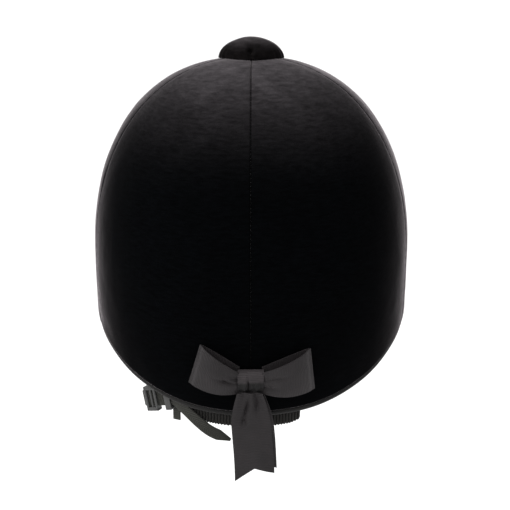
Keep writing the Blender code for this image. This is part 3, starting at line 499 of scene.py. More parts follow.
def strap_section(width, thickness, across=8, edge=0.0004):
    """A flat strap's section, with its edges rounded and its faces divided for the weave."""
    half, lift = width / 2, thickness / 2
    top = [(half - edge * 0.3, lift - edge * 0.3), (half - edge, lift)]
    top += [((half - edge) * (1 - 2 * i / across), lift) for i in range(1, across)]
    top += [(-half + edge, lift), (-half + edge * 0.3, lift - edge * 0.3)]
    return [(half, 0.0), *top, (-half, 0.0), *[(-x, -y) for x, y in top]]


def strap_frames(stops, count):
    """A smooth line through (place, face) stops, with the directions across it and out of its face."""
    both = smooth_line([[*place, *(0.0001 * unit(np.asarray(turn, float)))] for place, turn in stops], count)
    line, face = both[:, :3], unit(both[:, 3:])
    along = unit(np.gradient(line, axis=0))
    across = unit(np.cross(along, face))
    return line, across, np.cross(across, along)


def stitches(name, line, up, pitch, length, radius, body="helmet", material=THREAD):
    """Sewing stitches along a line: short rounded dashes that dip into the cloth at both ends."""
    run = steps(line[None], 1)[0]
    points, faces, at = [], [], pitch / 2
    while at < run[-1] - length / 2:
        faces += tube_faces(len(STITCH), STITCH_SIDES, len(points))
        for share, lift, size in STITCH:
            here = at + share * length
            middle, ahead, behind = (along_run(here + gap, run, line) for gap in (0, 1e-4, -1e-4))
            top = unit(along_run(here, run, up))
            side = unit(np.cross(ahead - behind, top))
            for i in range(STITCH_SIDES):
                turn = 2 * pi * i / STITCH_SIDES
                around = cos(turn) * side + sin(turn) * top
                points.append(middle + top * radius * lift + size * radius * around)
        at += pitch
    return piece(name, points, faces, material, None, body, 0)


# ---- The helmet's outer surface ----
def plan_share(x, y):
    """1 on the outline seen from above, less inside it."""
    return ((np.abs(x) / HALF_WIDTH) ** PLAN_POWER + (np.abs(y) / HALF_LENGTH) ** PLAN_POWER) ** (1 / PLAN_POWER)


def rim_height(azimuth):
    """The lower edge's height: a smooth curve through RIM_HEIGHTS, the same on both sides."""
    azimuth = np.abs((np.asarray(azimuth, float) + 180) % 360 - 180)
    before = (-RIM_HEIGHTS[1][0], RIM_HEIGHTS[1][1])
    after = (360 - RIM_HEIGHTS[-2][0], RIM_HEIGHTS[-2][1])
    a, h = np.array([before, *RIM_HEIGHTS, after], float).T
    i = np.clip(np.searchsorted(a, azimuth - 1e-9, side="left") - 1, 1, len(a) - 3)
    t = (azimuth - a[i]) / (a[i + 1] - a[i])
    slope_1 = (h[i + 1] - h[i - 1]) / (a[i + 1] - a[i - 1]) * (a[i + 1] - a[i])
    slope_2 = (h[i + 2] - h[i]) / (a[i + 2] - a[i]) * (a[i + 1] - a[i])
    return (
        (2 * t**3 - 3 * t**2 + 1) * h[i]
        + (t**3 - 2 * t**2 + t) * slope_1
        + (3 * t**2 - 2 * t**3) * h[i + 1]
        + (t**3 - t**2) * slope_2
    )


def round_azimuth(x, y):
    return np.degrees(np.arctan2(np.abs(x), -y))


def nape_share(azimuth, height):
    """How much the outline draws in below the widest level, towards the nape."""
    inset = NAPE_INSET * np.maximum(0.0, -np.cos(np.radians(azimuth))) ** 1.2
    return 1 - inset * (np.maximum(0.0, -height) / NAPE_DEPTH) ** INSET_POWER


def at_height(x, y, height):
    share = nape_share(round_azimuth(x, y), height)
    return grid(x * share, y * share, height)


def furthest(within, reach, rounds):
    """The largest distances, up to a reach, that are still within a shape, by halving."""
    near, far = np.zeros_like(reach), reach
    for _ in range(rounds):
        middle = (near + far) / 2
        inside_shape = within(middle)
        near, far = np.where(inside_shape, middle, near), np.where(inside_shape, far, middle)
    return near


def outline_distance(azimuth):
    """How far the outline is from the button, seen from above."""
    a = np.radians(azimuth)

    def within(distance):
        return plan_share(distance * np.sin(a), BUTTON_Y - distance * np.cos(a)) < 1

    return furthest(within, np.full_like(a, 2 * HALF_LENGTH), 40)


def back_skin(x, z):
    """How far back the outer surface is, on the lower half of the back."""
    x, z = np.broadcast_arrays(np.asarray(x, float), np.asarray(z, float))

    def within(y):
        share = nape_share(round_azimuth(x, y), z)
        return plan_share(x / share, y / share) < 1

    return furthest(within, np.full_like(x, HALF_LENGTH), 32)


def crown_height(x, y):
    power = LENGTH_POWER + (SIDE_POWER - LENGTH_POWER) * np.sin(np.radians(round_azimuth(x, y))) ** 2
    return CROWN_HEIGHT * (1 - np.minimum(plan_share(x, y), 1.0) ** power) ** (1 / power)


def surface(azimuth, level):
    """The outer surface. Level is 0 at the button, 1 at the headband and 2 at the lower edge."""
    azimuth, level = (v.astype(float) for v in np.broadcast_arrays(azimuth, level))
    distance = outline_distance(azimuth)
    reach = np.sin(np.minimum(level, 1.0) * pi / 2) ** (2 / SIDE_POWER)
    x = reach * distance * np.sin(np.radians(azimuth))
    y = BUTTON_Y - reach * distance * np.cos(np.radians(azimuth))
    lower = at_height(x, y, rim_height(round_azimuth(x, y)) * (level - 1))
    return np.where((level > 1)[..., None], lower, grid(x, y, crown_height(x, y)))


def surface_normal(azimuth, level):
    azimuth, level = (v.astype(float) for v in np.broadcast_arrays(azimuth, level))
    step = np.minimum(0.02, level / 2)
    along = surface(azimuth + 0.5, level) - surface(azimuth - 0.5, level)
    up = surface(azimuth, level - step) - surface(azimuth, level + step)
    crossing = (level < 1) & (level + step > 1)
    up = np.where(crossing[..., None], Z, up)
    return unit(np.cross(along, up))


def layer(azimuth, level, depth):
    """Points at a depth under the outer surface."""
    return surface(azimuth, level) - surface_normal(azimuth, level) * np.asarray(depth)[..., None]


def rim_point(azimuth, depth, below):
    """A point below the lower edge, or above it where below is negative; the azimuth is from the origin."""
    a = np.radians(azimuth)
    x, y = np.sin(a), -np.cos(a)
    scale = 1 / plan_share(x, y)
    height = rim_height(azimuth) - below
    outer = at_height(x * scale, y * scale, np.maximum(height, rim_height(azimuth)))
    ahead = np.radians(np.asarray(azimuth, float) + 1)
    x, y = np.sin(ahead), -np.cos(ahead)
    size = plan_share(x, y)
    beside = at_height(x / size, y / size, outer[..., 2])
    out = unit(np.cross(beside - outer, Z))
    outer[..., 2] = height
    return outer - out * np.asarray(depth)[..., None]


def outward(azimuth):
    """The level direction out of the wall at the rim."""
    return unit(rim_point(azimuth, 0.0, 0.0) - rim_point(azimuth, 0.01, 0.0))


# ---- Velvet cover ----
def rows_of(level_low, level_high, lower=26, upper=64):
    """Levels from the rim up, close together where the surface bends most."""
    low = np.linspace(level_low, 1.0, lower, endpoint=False)
    high = 1 - (1 - level_high) * np.linspace(0, 1, upper) ** 1.12
    return np.concatenate([low, high])


def gore(name, node, start, end):
    """One velvet panel, drawn down into the seams at its two sides and round the edge at the rim."""
    # Rows are close together at the rim, where the velvet turns under.
    levels = np.concatenate([[2.0, 1.993, 1.985, 1.975, 1.96], rows_of(1.94, 0.034)])
    dense = np.linspace(start, end, 181)
    azimuth, s = [], []
    for run in steps(surface(dense[None], levels[:, None]), 1):
        width = run[-1]
        side = np.minimum(BY_SEAM, width * np.linspace(0, 0.36, len(BY_SEAM))) + 0.0001
        middle = np.linspace(side[-1], width - side[-1], 42)[1:-1]
        s.append(np.concatenate([side, middle, (width - side)[::-1]]))
        azimuth.append(np.interp(s[-1], run, dense))
    azimuth, s = np.array(azimuth), np.array(s)
    level = np.broadcast_to(levels[:, None], azimuth.shape)
    outer, normal = surface(azimuth, level), surface_normal(azimuth, level)
    rise = steps(outer, 0)
    from_seam = np.minimum(s, s[:, -1:] + 0.0001 - s)
    # The two seams of a panel pucker out of step.
    phase = np.where(s < s[:, -1:] / 2, 0.0, 9 * 1.7)
    groove = 0.00085 * bell(from_seam, 0.00055)
    pucker = 0.00014 * bell(from_seam, 0.0032) * (0.5 + 0.5 * np.sin(rise * 2 * pi / 0.0052 + phase))
    ease = 0.00022 * wobble(outer, 38.0, start) + 0.00012 * wobble(outer, 95.0, end)
    rolled = 0.0009 * clamp(1 - rise / 0.0022) ** 2
    fold = 0.00025 * bell(rise - 0.010, 0.006) * wobble(outer, 60.0, 3.0)
    depth = groove + pucker + ease * clamp(from_seam / 0.004) + rolled + fold + 0.00018
    front, back = outer - normal * depth[..., None], outer - normal * 0.0014
    obj = slab(name, front, back, VELVET, np.stack([s, rise], -1), sharp=60)
    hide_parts(node)
    return obj


def velvet_cover():
    """Four panels, with the stitches showing in the seams between them."""
    spans = {
        "front_left": (0, SIDE_SEAM),
        "rear_left": (SIDE_SEAM, 180),
        "rear_right": (180, 360 - SIDE_SEAM),
        "front_right": (360 - SIDE_SEAM, 360),
    }
    for name, (start, end) in spans.items():
        obj = gore("velvet_" + name, "cover_" + name, start, end)
    levels = np.linspace(1.97, 0.045, 240)
    for name, azimuth in (("back", 180.0), ("left", SIDE_SEAM), ("right", 360 - SIDE_SEAM), ("front", 0.0)):
        line, up = layer(azimuth, levels, 0.00072), surface_normal(azimuth, levels)
        obj = stitches("seam_thread_" + name, line, up, *SEAM_SEWING, material=DARK_THREAD)


def hard_shell():
    """The moulded shell, and the bead foam under it."""
    azimuth = np.arange(0, 360, 2.0)[None]
    levels = np.concatenate([[2.0, 1.99], rows_of(1.96, 0.036, 14, 34)])[:, None]
    outer, inner = (layer(azimuth, levels, depth) for depth in SHELL)
    shell = slab("shell_wall", outer, inner, SHELL_PLASTIC, wrap=True)
    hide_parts("outer_shell")
    foot = 1.985
    levels = np.concatenate([[foot, 1.98, 1.97], rows_of(1.94, 0.038, 16, 40)])[:, None]
    # Its lower edge is bevelled, more so on the inside.
    edge = clamp(1 - (foot - levels) / 0.03) ** 2 * 0.0012
    outer, inner = layer(azimuth, levels, LINER[0] + edge * 0.4), layer(azimuth, levels, LINER[1] - edge)
    liner = slab("bead_liner", outer, inner, BEADS, wrap=True)
    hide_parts("impact_liner")


def edge_binding():
    """Bias tape round the rim, with the stitches that close it on its inner side."""
    azimuth = np.arange(0, 360, 1.0)
    line = rim_point(azimuth, 0.0024, 0.0011)
    along = unit(np.roll(line, -1, 0) - np.roll(line, 1, 0))
    down = unit(np.cross(along, outward(azimuth)))
    out = np.cross(down, along)
    section = round_section(BINDING_RADIUS) * (1, 1.3)
    tape = sweep("rim_tape", line, out, down, section, BINDING, closed=True, sharp=0)
    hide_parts("rim_binding")
    loop, inner, low = (np.concatenate([v, v[:1]]) for v in (line, -out, -down))
    if np.mean(low[:, 2]) > 0:
        low = -low
    turned = unit(inner * 0.8 + low * 0.6)
    obj = stitches("rim_stitching", loop + turned * BINDING_RADIUS * 0.98, turned, *RIM_SEWING)


# ---- Top button ----
def button_placing():
    """Where the crown's velvet meets the button's axis, with Z out of the crown."""
    ahead, behind = surface(0.0, 0.1), surface(180.0, 0.1)
    normal = Vector(unit(np.cross((1, 0, 0), behind - ahead)))
    top = Vector(surface(0.0, 1e-6))
    return Matrix.Translation(top) @ normal.to_track_quat("Z", "Y").to_matrix().to_4x4()


def top_button():
    """A domed button with its velvet gathered under at the base and pinched at the back."""
    place = np.array(button_placing())
    dome, tucked, hollow = 40, 5, 12
    row = np.arange(dome + tucked + hollow)[:, None]
    a = np.radians(np.arange(0, 360, 2.5))[None]
    inner = np.linspace(0.93, 0.01, hollow)
    share = np.concatenate([np.linspace(0.002, 1, dome), np.ones(tucked), inner])[:, None]
    angle = share * pi / 2
    radius = BUTTON_RADIUS * np.sin(angle) ** 1.06
    height = BUTTON_BASE + BUTTON_HEIGHT * np.cos(angle) ** 1.03
    radius[dome:-hollow, 0] = BUTTON_RADIUS - np.array((0.0003, 0.0008, 0.0014, 0.0020, 0.0026))
    height[dome:-hollow, 0] = BUTTON_BASE + np.array((-0.0001, -0.00012, 0.0001, 0.0004, 0.0008))
    radius[-hollow:, 0] = (BUTTON_RADIUS - 0.0015) * np.sin(inner * pi / 2) ** 1.06
    height[-hollow:, 0] = BUTTON_BASE + 0.0006 + (BUTTON_HEIGHT - 0.0021) * np.cos(inner * pi / 2) ** 1.03
    # Towards the back it is a little longer than a circle.
    oval = 1 + BUTTON_OVAL * clamp(-np.cos(a)) ** 2 * clamp(share * 1.2 - 0.2) * (row < dome + tucked)
    local = grid(radius * np.sin(a), -radius * np.cos(a) * oval, height)
    # Soft gathers round its lower half, and a slight unevenness all over.
    outer = row <= dome
    down = clamp((share - 0.55) / 0.45) * outer
    swell = 0.00022 * down * (np.sin(a * 34 + 1.3 * np.sin(a * 5)) + 0.6 * np.sin(a * 21 + 2.0))
    swell = swell + 0.00035 * wobble(local @ place[:3, :3].T + place[:3, 3], 90.0, 7.0) * outer * clamp(share * 4)
    # The pinch is on the side that faces back, where +Y is.
    aside = np.sin(a) * np.maximum(radius, 1e-6)
    crease = 0.0016 * bell(aside - 0.0006, 0.0009) * clamp((share - 0.62) / 0.15)
    dimple = 0.0036 * bell(aside - 0.0006, 0.0021) * bell(share - 0.72, 0.10)
    dimple = dimple + 0.0007 * bell(aside - 0.0042, 0.0036) * bell(share - 0.86, 0.09)
    ridge = 0.0011 * bell(aside + 0.0024, 0.0014) * bell(share - 0.84, 0.13)
    swell = swell + np.where(np.cos(a) < 0, ridge - crease - dimple, 0.0) * outer
    outwards = grid(np.sin(a) * np.sin(angle), -np.cos(a) * np.sin(angle), np.cos(angle))
    local += np.where(outer[..., None], outwards, 0.0) * swell[..., None]
    world = local @ place[:3, :3].T + place[:3, 3]
    # Its skirt is drawn down all round until it meets the velvet of the crown.
    edge = world[dome]
    gap = edge[:, 2] - crown_height(edge[:, 0], edge[:, 1]) - 0.0001
    skirt = clamp((share - 0.45) / 0.55)
    world[..., 2] -= gap[None] * skirt**2 * (3 - 2 * skirt)
    uv = grid(a * BUTTON_RADIUS, share * 0.03).reshape(-1, 2)
    obj = piece("velvet_button", world.reshape(-1, 3), tube_faces(*world.shape[:2]), BUTTON_VELVET, uv, sharp=0)
    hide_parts("button_cover")


# ---- Peak ----
def peak_reach(azimuth):
    """How far the peak stands out from the rim."""
    return PEAK_LENGTH * np.maximum(1 - (azimuth / PEAK_END) ** 2, 0) ** 0.75


def peak_point(azimuth, share, drop):
    """A point on the peak: a share of the way from the rim to its edge, a drop under its top."""
    azimuth, share = np.broadcast_arrays(np.asarray(azimuth, float), np.asarray(share, float))
    root = rim_point(azimuth, -0.0006, -PEAK_RISE)
    reach = peak_reach(azimuth) * share + 0.0006
    turn = np.radians(azimuth * 0.8)
    out = grid(np.sin(turn), -np.cos(turn), 0.0) * reach[..., None]
    fall = -PEAK_SLOPE * reach - PEAK_BEND * reach**2 - drop
    return root + out + fall[..., None] * Z


def peak():
    limit = PEAK_END - 1.0
    azimuth = limit * np.sin(np.linspace(-pi / 2, pi / 2, 91))[None]
    share = np.linspace(0, 1.0, 24)[:, None]
    base = peak_point(azimuth, share, 0.0)
    ease = 0.00016 * wobble(base, 60.0, 4.0)
    rolled = 0.0006 * clamp((share - 0.95) / 0.05) ** 2
    run = np.stack([steps(base, 1), steps(base, 0)], -1)
    top = peak_point(azimuth, share, PEAK_COVER[0] + ease + rolled)
    bottom = peak_point(azimuth, share, PEAK_COVER[1])
    cover = slab("velvet_peak", top, bottom, VELVET, run)
    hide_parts("peak_cover")

    channel = sum(bell((1 - share) * PEAK_LENGTH - at, 0.0009) for at in PEAK_CHANNELS)
    top = peak_point(azimuth, share, PEAK_LINING[0])
    bottom = peak_point(azimuth, share, PEAK_LINING[1] - 0.0004 * channel + 0.5 * ease)
    lining = slab("peak_underside", top, bottom, VELVET, run)
    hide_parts("peak_lining")
    span = np.linspace(-limit * 0.93, limit * 0.93, 160)
    reach = peak_reach(span)
    for i, at in enumerate(PEAK_CHANNELS):
        line = peak_point(span, 0.985 * np.maximum(1 - at / reach, 0.02), PEAK_SEAMS)[reach > at * 1.2]
        obj = stitches(f"peak_stitching_{i}", line, np.tile(-Z, (len(line), 1)), *PEAK_SEWING)

    place = np.arange(161)
    edge = peak_point(np.linspace(-limit, limit, len(place)), 1.0, PEAK_EDGE)
    aside = unit(grid(edge[:, 0] * 0.4, edge[:, 1] + 0.1, 0.0))
    edge = edge + aside * (PIPING_RADIUS - 0.0010)
    along = unit(np.gradient(edge, axis=0))
    up = unit(np.cross(np.cross(along, Z), along))
    taper = np.clip(np.minimum(place, place[::-1]) / 9, 0.12, 1)
    section = round_section(PIPING_RADIUS)[None] * taper[:, None, None]
    piping = sweep("peak_piped_edge", edge, np.cross(along, up), up, section, VELVET, sharp=0)
    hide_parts("peak_piping")


# ---- Bow ----
def ribbon_slab(name, middle, uv, body="helmet", material=GROSGRAIN, normal=None):
    half = (grid_normals(middle) if normal is None else normal) * RIBBON / 2
    return slab(name, middle + half, middle - half, material, uv, body, sharp=60)


def bow_loop(name, node, side, tip_top, tip_bottom, peep, creases):
    """A loop of ribbon: out from the knot, folded at its end and back behind, where it stands higher."""
    root_x = side * (KNOT[0] / 2 - 0.0012)
    u = np.linspace(0, 1, 121)[None]
    v = np.linspace(0, 1, 33)[:, None]
    turn = 2 * u - 1
    out = 1 - np.abs(turn)
    rear = np.clip(turn / 0.09, -1, 1) * 0.5 + 0.5
    lift = 0.0026 * (1 - out) * rear
    root_bottom, root_top = KNOT_Z - 0.0080 + lift, KNOT_Z + 0.0068 + lift
    hide = peep * np.sin(clamp(out) ** 1.6 * pi) ** 0.8 * (1 - rear)
    x = (root_x + (tip_bottom[0] - root_x) * out) * (1 - v) + (root_x + (tip_top[0] - root_x) * out) * v
    z_low = root_bottom + (tip_bottom[1] - root_bottom) * out - 0.0012 * np.sin(out * pi)
    z_high = root_top + (tip_top[1] - root_top) * out + 0.0012 * np.sin(out * pi) - hide
    z = z_low * (1 - v) + z_high * v
    belly = 0.0012 + 0.0030 * np.sin(np.minimum(1.0, out * 1.05) * pi) ** 0.8
    height = 0.0013 + belly * (1 - (2 * rear - 1)) + 0.0009 * (1 - rear)
    pleats = 0.00055 * np.exp(-out / 0.16) * (np.cos(2 * pi * (2.2 * v + 0.15 * side)) - 0.2)
    bend = sum(-depth * bell(out - at, reach) * bell(v - level, wide) for at, reach, level, depth, wide in creases)
    curl = 0.0007 * (2 * v - 1) ** 2 * np.sin(out * pi)
    flare = LOOP_FLARE * out * (1 - v)
    y = back_skin(x, z) + height + flare + (pleats + bend - curl) * (1 - rear) + 0.0002
    middle = grid(x, y, z)
    obj = ribbon_slab(name, middle, grid(steps(middle, 1), v * RIBBON_WIDTH))
    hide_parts(node)


def bow_knot():
    """A band of the same ribbon wrapped round the middle, with one long fold down its front."""
    top, bottom = back_skin(0.0, KNOT_Z + KNOT[2] / 2), back_skin(0.0, KNOT_Z - KNOT[2] / 2)
    tilt = atan2(top - bottom, KNOT[2])
    centre = np.array((0.0, (top + bottom) / 2 + KNOT[1] / 2 + 0.0006, KNOT_Z))
    turns = np.linspace(0, 2 * pi, 97)[:-1][:, None]
    across = np.linspace(-1, 1, 41)[None]
    x = across * KNOT[0] / 2
    # A rounded-oblong path round the bow's middle, flat against the velvet.
    power = 2 / 3.2
    height = 0.0079 * np.sign(np.sin(turns)) * np.abs(np.sin(turns)) ** power
    forward = 0.0029 * np.sign(np.cos(turns)) * np.abs(np.cos(turns)) ** power
    front = clamp(np.cos(turns))
    up = clamp(np.sin(turns) * 0.5 + 0.5)
    crown = 0.0009 * (1 - across**2) * front
    fold_x = 0.0024 - 0.0014 * (1 - up)
    step = 0.0009 / (1 + np.exp(-(x - fold_x) / 0.00018)) * clamp((up - 0.30) * 4)
    pinch = -0.0009 * bell(x - fold_x, 0.0007) * clamp((0.85 - up) * 4)
    tuck = -0.0021 * clamp((0.56 - up) * 2.6) * (0.8 + 0.2 * np.cos(x * 500))
    ruck = 0.00032 * np.sin(x * 1700 + 4 * up) * bell(up - 0.38, 0.2) + tuck
    waist = 0.975 + 0.025 * up
    local = grid(x * waist, forward + (crown + step + pinch + ruck) * front, height)
    c, s = cos(-tilt), sin(-tilt)
    turn = np.array(((1, 0, 0), (0, c, -s), (0, s, c)))
    middle = local @ turn.T + centre
    closed = np.concatenate([middle, middle[:1]])
    normal = grid_normals(np.concatenate([middle[-1:], closed, middle[1:2]]))[1:-1]
    uv = grid(steps(closed, 0), across * 0.0125)
    obj = ribbon_slab("bow_knot_band", closed, uv, material=KNOT_GROSGRAIN, normal=normal)
    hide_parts("bow_knot")


def bow_tail(name, node, y, top_x, bottom_x, tips, turn, seed):
    """A hanging ribbon end with a swallowtail cut, pleated where it leaves the knot."""
    height = sum(tips) / 3
    i = np.linspace(0, 1, 97)[:, None]
    v = np.linspace(-0.5, 0.5, 33)[None]
    width = 0.0150 + (0.0238 - 0.0150) * np.sin(np.minimum(1.0, i * 2.3) * pi / 2)
    angle = np.radians(turn * i)
    sway = 0.0007 * np.sin(i * 5.2 + seed) * i * (1 - 0.4 * i)
    x = top_x + (bottom_x - top_x) * i + sway + width * v * np.cos(angle)
    corner = np.where(v < 0, tips[0], tips[2])
    cut = tips[1] + (corner - tips[1]) * 2 * np.abs(v) - height
    z = TAIL_TOP + TAIL_TUCK + (height - TAIL_TOP - TAIL_TUCK) * i + cut * i**4
    flutter = 0.0006 * np.sin(v * 5 + i * 3.0 + seed) * i
    pleats = 0.0009 * np.exp(-i / 0.20) * np.cos(2 * pi * 2.1 * v + seed)
    crease = -0.0019 * bell(v - 0.02 - 0.5 * i, 0.05) * bell(i - 0.2, 0.14)
    crease = crease - 0.0016 * bell(v + 0.22 - 0.1 * i, 0.06) * bell(i - 0.14, 0.10)
    dent = -0.0013 * bell(v - 0.18, 0.07) * bell(i - 0.36, 0.05)
    curl = -0.0006 * (2 * v) ** 4 * np.sin(np.minimum(i * 1.6, 1) * pi / 2)
    middle = grid(x, y + width * v * np.sin(angle) + flutter + pleats + crease + dent + curl, z)
    obj = ribbon_slab(name, middle, grid(steps(middle, 0), v * RIBBON_WIDTH), None)
    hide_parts(node)
    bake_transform(obj)


def bow():
    # Creases: how far out, their reach, their place up the ribbon, depth and width.
    left = ((0.30, 0.20, 0.46, 0.0017, 0.055), (0.12, 0.14, 0.66, 0.0009, 0.09), (0.34, 0.07, 0.50, 0.0009, 0.12))
    right = ((0.26, 0.24, 0.62, 0.0011, 0.05), (0.14, 0.15, 0.30, 0.0010, 0.07), (0.55, 0.3, 0.5, 0.0004, 0.25))
    bow_loop("ribbon_loop_left", "bow_loop_left", 1, (0.0295, -0.0281), (0.0368, -0.0536), 0.0005, left)
    bow_loop("ribbon_loop_right", "bow_loop_right", -1, (-0.0350, -0.0311), (-0.0381, -0.0584), 0.0010, right)
    bow_knot()
    bow_tail("ribbon_tail_front", "bow_tail_front", TAIL_FRONT_Y, 0.0006, -0.0020, FRONT_TIPS, 0, 0.4)
    bow_tail("ribbon_tail_rear", "bow_tail_rear", TAIL_REAR_Y, 0.0002, -0.0042, REAR_TIPS, -3, 2.1)


# ---- Nape harness ----
def basis(x_axis, y_axis, origin):
    x_axis, y_axis = Vector(x_axis).normalized(), Vector(y_axis).normalized()
    turn = Matrix((x_axis, y_axis, x_axis.cross(y_axis))).transposed().to_4x4()
    return Matrix.Translation(Vector(origin)) @ turn


def slide_placing(along=0.0, out=0.0):
    """On the straight run of the left nape strap: X along it, Y across its width, Z out of its outer face."""
    run = Vector(SLIDE_RUN).normalized()
    face = Vector((run.y, -run.x, 0)).normalized()
    return basis(run, face.cross(run), Vector(SLIDE_CENTRE) + run * along + face * out)


def slide_point(along, out=0.0):
    return np.array(slide_placing(along, out).translation)


def slide_axis(number):
    return np.array(slide_placing().col[number].to_3d())


def inside(azimuth, height, depth=0.0300):
    """A stop on the inner wall: its place, and the way its face looks."""
    return rim_point(azimuth, depth, rim_height(azimuth) - height), outward(azimuth)


def web_strap(name, node, stops, width, thickness=WEBBING, density=0.0015):
    """Webbing through (place, face) stops. The width is a number, or a function of the share of its length."""
    length = steps(np.array([p for p, _ in stops])[None], 1)[0, -1]
    line, across, face = strap_frames(stops, max(12, int(length / density)))
    if callable(width):
        section = [strap_section(width(i / (len(line) - 1)), thickness) for i in range(len(line))]
    else:
        section = strap_section(width, thickness)
    obj = sweep(name, line, across, face, section, WEB, sharp=40)
    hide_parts(node)


def nape_elastic():
    """The gathered elastic across the nape, its ribs standing up and down."""
    azimuth = np.linspace(ELASTIC_START, ELASTIC_END, 361)
    line = rim_point(azimuth, 0.0072, ELASTIC_DROP)
    run = steps(line[None], 1)[0]
    share = np.linspace(0, 1, len(azimuth))
    from_end = np.minimum(share, 1 - share)
    tall = ELASTIC_HEIGHT * (0.72 + 0.28 * np.minimum(1.0, from_end / 0.09))
    tall = tall * (0.80 + 0.20 * np.sqrt(clamp(from_end / 0.02)))
    v = np.linspace(-0.5, 0.5, 13)[:, None]
    lean = 0.0010 * v * np.sin(run * 260)[None]
    phase = (run[None] + lean) * 2 * pi / ELASTIC_PITCH
    rib = (0.5 + 0.5 * np.sin(phase)) ** 0.7
    body = ELASTIC / 2 - 0.0005 + 0.00048 * rib - 0.00035 * (2 * v) ** 4
    edge = 1 + 0.03 * np.sin(phase[0])
    middle = line[None] + v[..., None] * (tall * edge)[None, :, None] * Z
    swell = outward(azimuth)[None] * body[..., None]
    uv = grid(run[None], v * ELASTIC_HEIGHT)
    obj = slab("gathered_elastic", middle + swell, middle - swell, ELASTIC_WEB, uv, sharp=0)
    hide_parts("nape_elastic")


def nape_straps():
    """The left strap runs from its rivet down round the slide to the elastic."""
    side, face = -slide_axis(0), slide_axis(2)
    end = ELASTIC_START + 1.2
    left = [
        inside(NAPE_ANCHOR[0] - 3.5, NAPE_ANCHOR[1] + 0.007),
        inside(*NAPE_ANCHOR),
        inside(122.5, -0.026),
        inside(126.0, -0.040, 0.0312),
        inside(130.0, -0.054, 0.0318),
        ((0.0640, 0.0668, -0.0670), (0.95, 0.3, 0.0)),
        ((0.0612, 0.0745, -0.0780), (0.95, 0.1, 0.0)),
        (slide_point(-0.0066, -0.0046), side),
        (slide_point(-0.0068, -0.0016), side + face * 0.4),
        *[(slide_point(along), face) for along in (-0.0056, -0.003, 0.003, 0.009, 0.0165)],
        (rim_point(end, 0.0106, ELASTIC_DROP - 0.0010), outward(end)),
    ]
    web_strap("nape_web_left", "nape_strap_left", left, NAPE_WEBBING_WIDTH)
    # The right strap leaves the elastic, turns in under the foam and climbs to its rivet.
    leave = 187.0
    radial = outward(leave)
    right = [
        (rim_point(leave, depth, below), turn)
        for depth, below, turn in (
            (0.0099, 0.0100, radial),
            (0.0099, 0.0045, radial),
            (0.0118, 0.0020, radial + Z),
            (0.0190, 0.0018, Z),
            (0.0295, 0.0019, Z),
            (0.0336, -0.0008, Z + radial),
        )
    ]
    right.append((rim_point(leave + 0.2, 0.0348, -0.0080), radial))
    for azimuth, height, depth in (
        (190.0, -0.0600, 0.0352),
        (197.0, -0.0530, 0.0352),
        (205.0, -0.0460, 0.0344),
        (214.0, -0.0380, 0.0332),
        (223.0, -0.0300, 0.0320),
        (232.0, -0.0215, 0.0306),
        (360 - NAPE_ANCHOR[0], NAPE_ANCHOR[1], 0.0300),
        (364 - NAPE_ANCHOR[0], NAPE_ANCHOR[1] + 0.004, 0.0300),
    ):
        right.append(inside(azimuth, height, depth))
    web_strap("nape_web_right", "nape_strap_right", right, NAPE_WEBBING_WIDTH)


def rounded_bars(name, node, bars, place, body, bevel):
    """Rounded blocks, each a centre and a size in a placing's own frame, made into one moulding."""
    bm = bmesh.new()
    for centre, size in bars:
        at = place @ Matrix.Translation(centre) @ Matrix.Diagonal((*size, 1))
        bmesh.ops.create_cube(bm, size=1.0, matrix=at)
    mesh = bpy.data.meshes.new(name)
    bm.to_mesh(mesh)
    bm.free()
    mesh.materials.append(ACETAL)
    mesh.shade_smooth()
    obj = add(name, mesh)
    rounding = obj.modifiers.new("round", "BEVEL")
    rounding.width, rounding.segments = bevel, 4
    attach(obj, body)
    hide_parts(node)


def nape_fittings():
    """The slide's frame with the bar that the strap wraps, and the keeper beside it."""
    tall, rail, thick = 0.0160, 0.0024, 0.0046
    bars = [
        ((-0.00345, 0, 0), (0.0019, tall, thick)),
        ((0.0, 0, 0.0010), (0.0017, tall - 0.001, 0.0014)),
        ((0.00345, 0, 0), (0.0019, tall, thick)),
    ]
    bars += [((0, side * (tall - rail) / 2, 0), (0.0088, rail, thick)) for side in (-1, 1)]
    rounded_bars("nape_slide_frame", "nape_adjuster", bars, slide_placing(), "nape_slide", 0.0007)
    bars = []
    for sign in (-1, 1):
        bars.append(((0, sign * 0.0061, 0), (0.0044, 0.0013, 0.0062)))
        bars.append(((0, 0, sign * 0.0026), (0.0044, 0.0136, 0.0010)))
    rounded_bars("webbing_keeper", "strap_keeper", bars, slide_placing(KEEPER_AT, 0.0011), "helmet", 0.0004)


def nape_tongue():
    """The strap's free end, cut to a point, and the short tab that hangs by the keeper."""
    face = slide_axis(2)
    stops = [
        (slide_point(KEEPER_AT - 0.0020, 0.0023), face),
        (slide_point(KEEPER_AT + 0.0030, 0.0023), face),
        ((0.0410, 0.1022, -0.0803), (0.45, 0.85, 0.0)),
        ((0.0266, 0.1064, -0.0920), (0.2, 0.9, 0.35)),
        ((0.0126, 0.1064, -0.0990), (0.1, 0.9, 0.35)),
    ]
    full, tip_from, tip_run = 0.0068, 0.84, 0.22

    def width(share):
        return full if share < tip_from else full * (tip_from + tip_run - share) / tip_run

    web_strap("web_tongue", "nape_strap_tongue", stops, width, 0.0013, 0.0008)
    hang = slide_point(KEEPER_AT + 0.0034, -0.0022)
    tab = [(hang + Z * (0.0006 - 0.0040 * i), (0.45, 0.8, 0.0)) for i in range(5)]
    web_strap("web_tab", "strap_tab", tab, 0.0052, 0.0013, 0.0008)


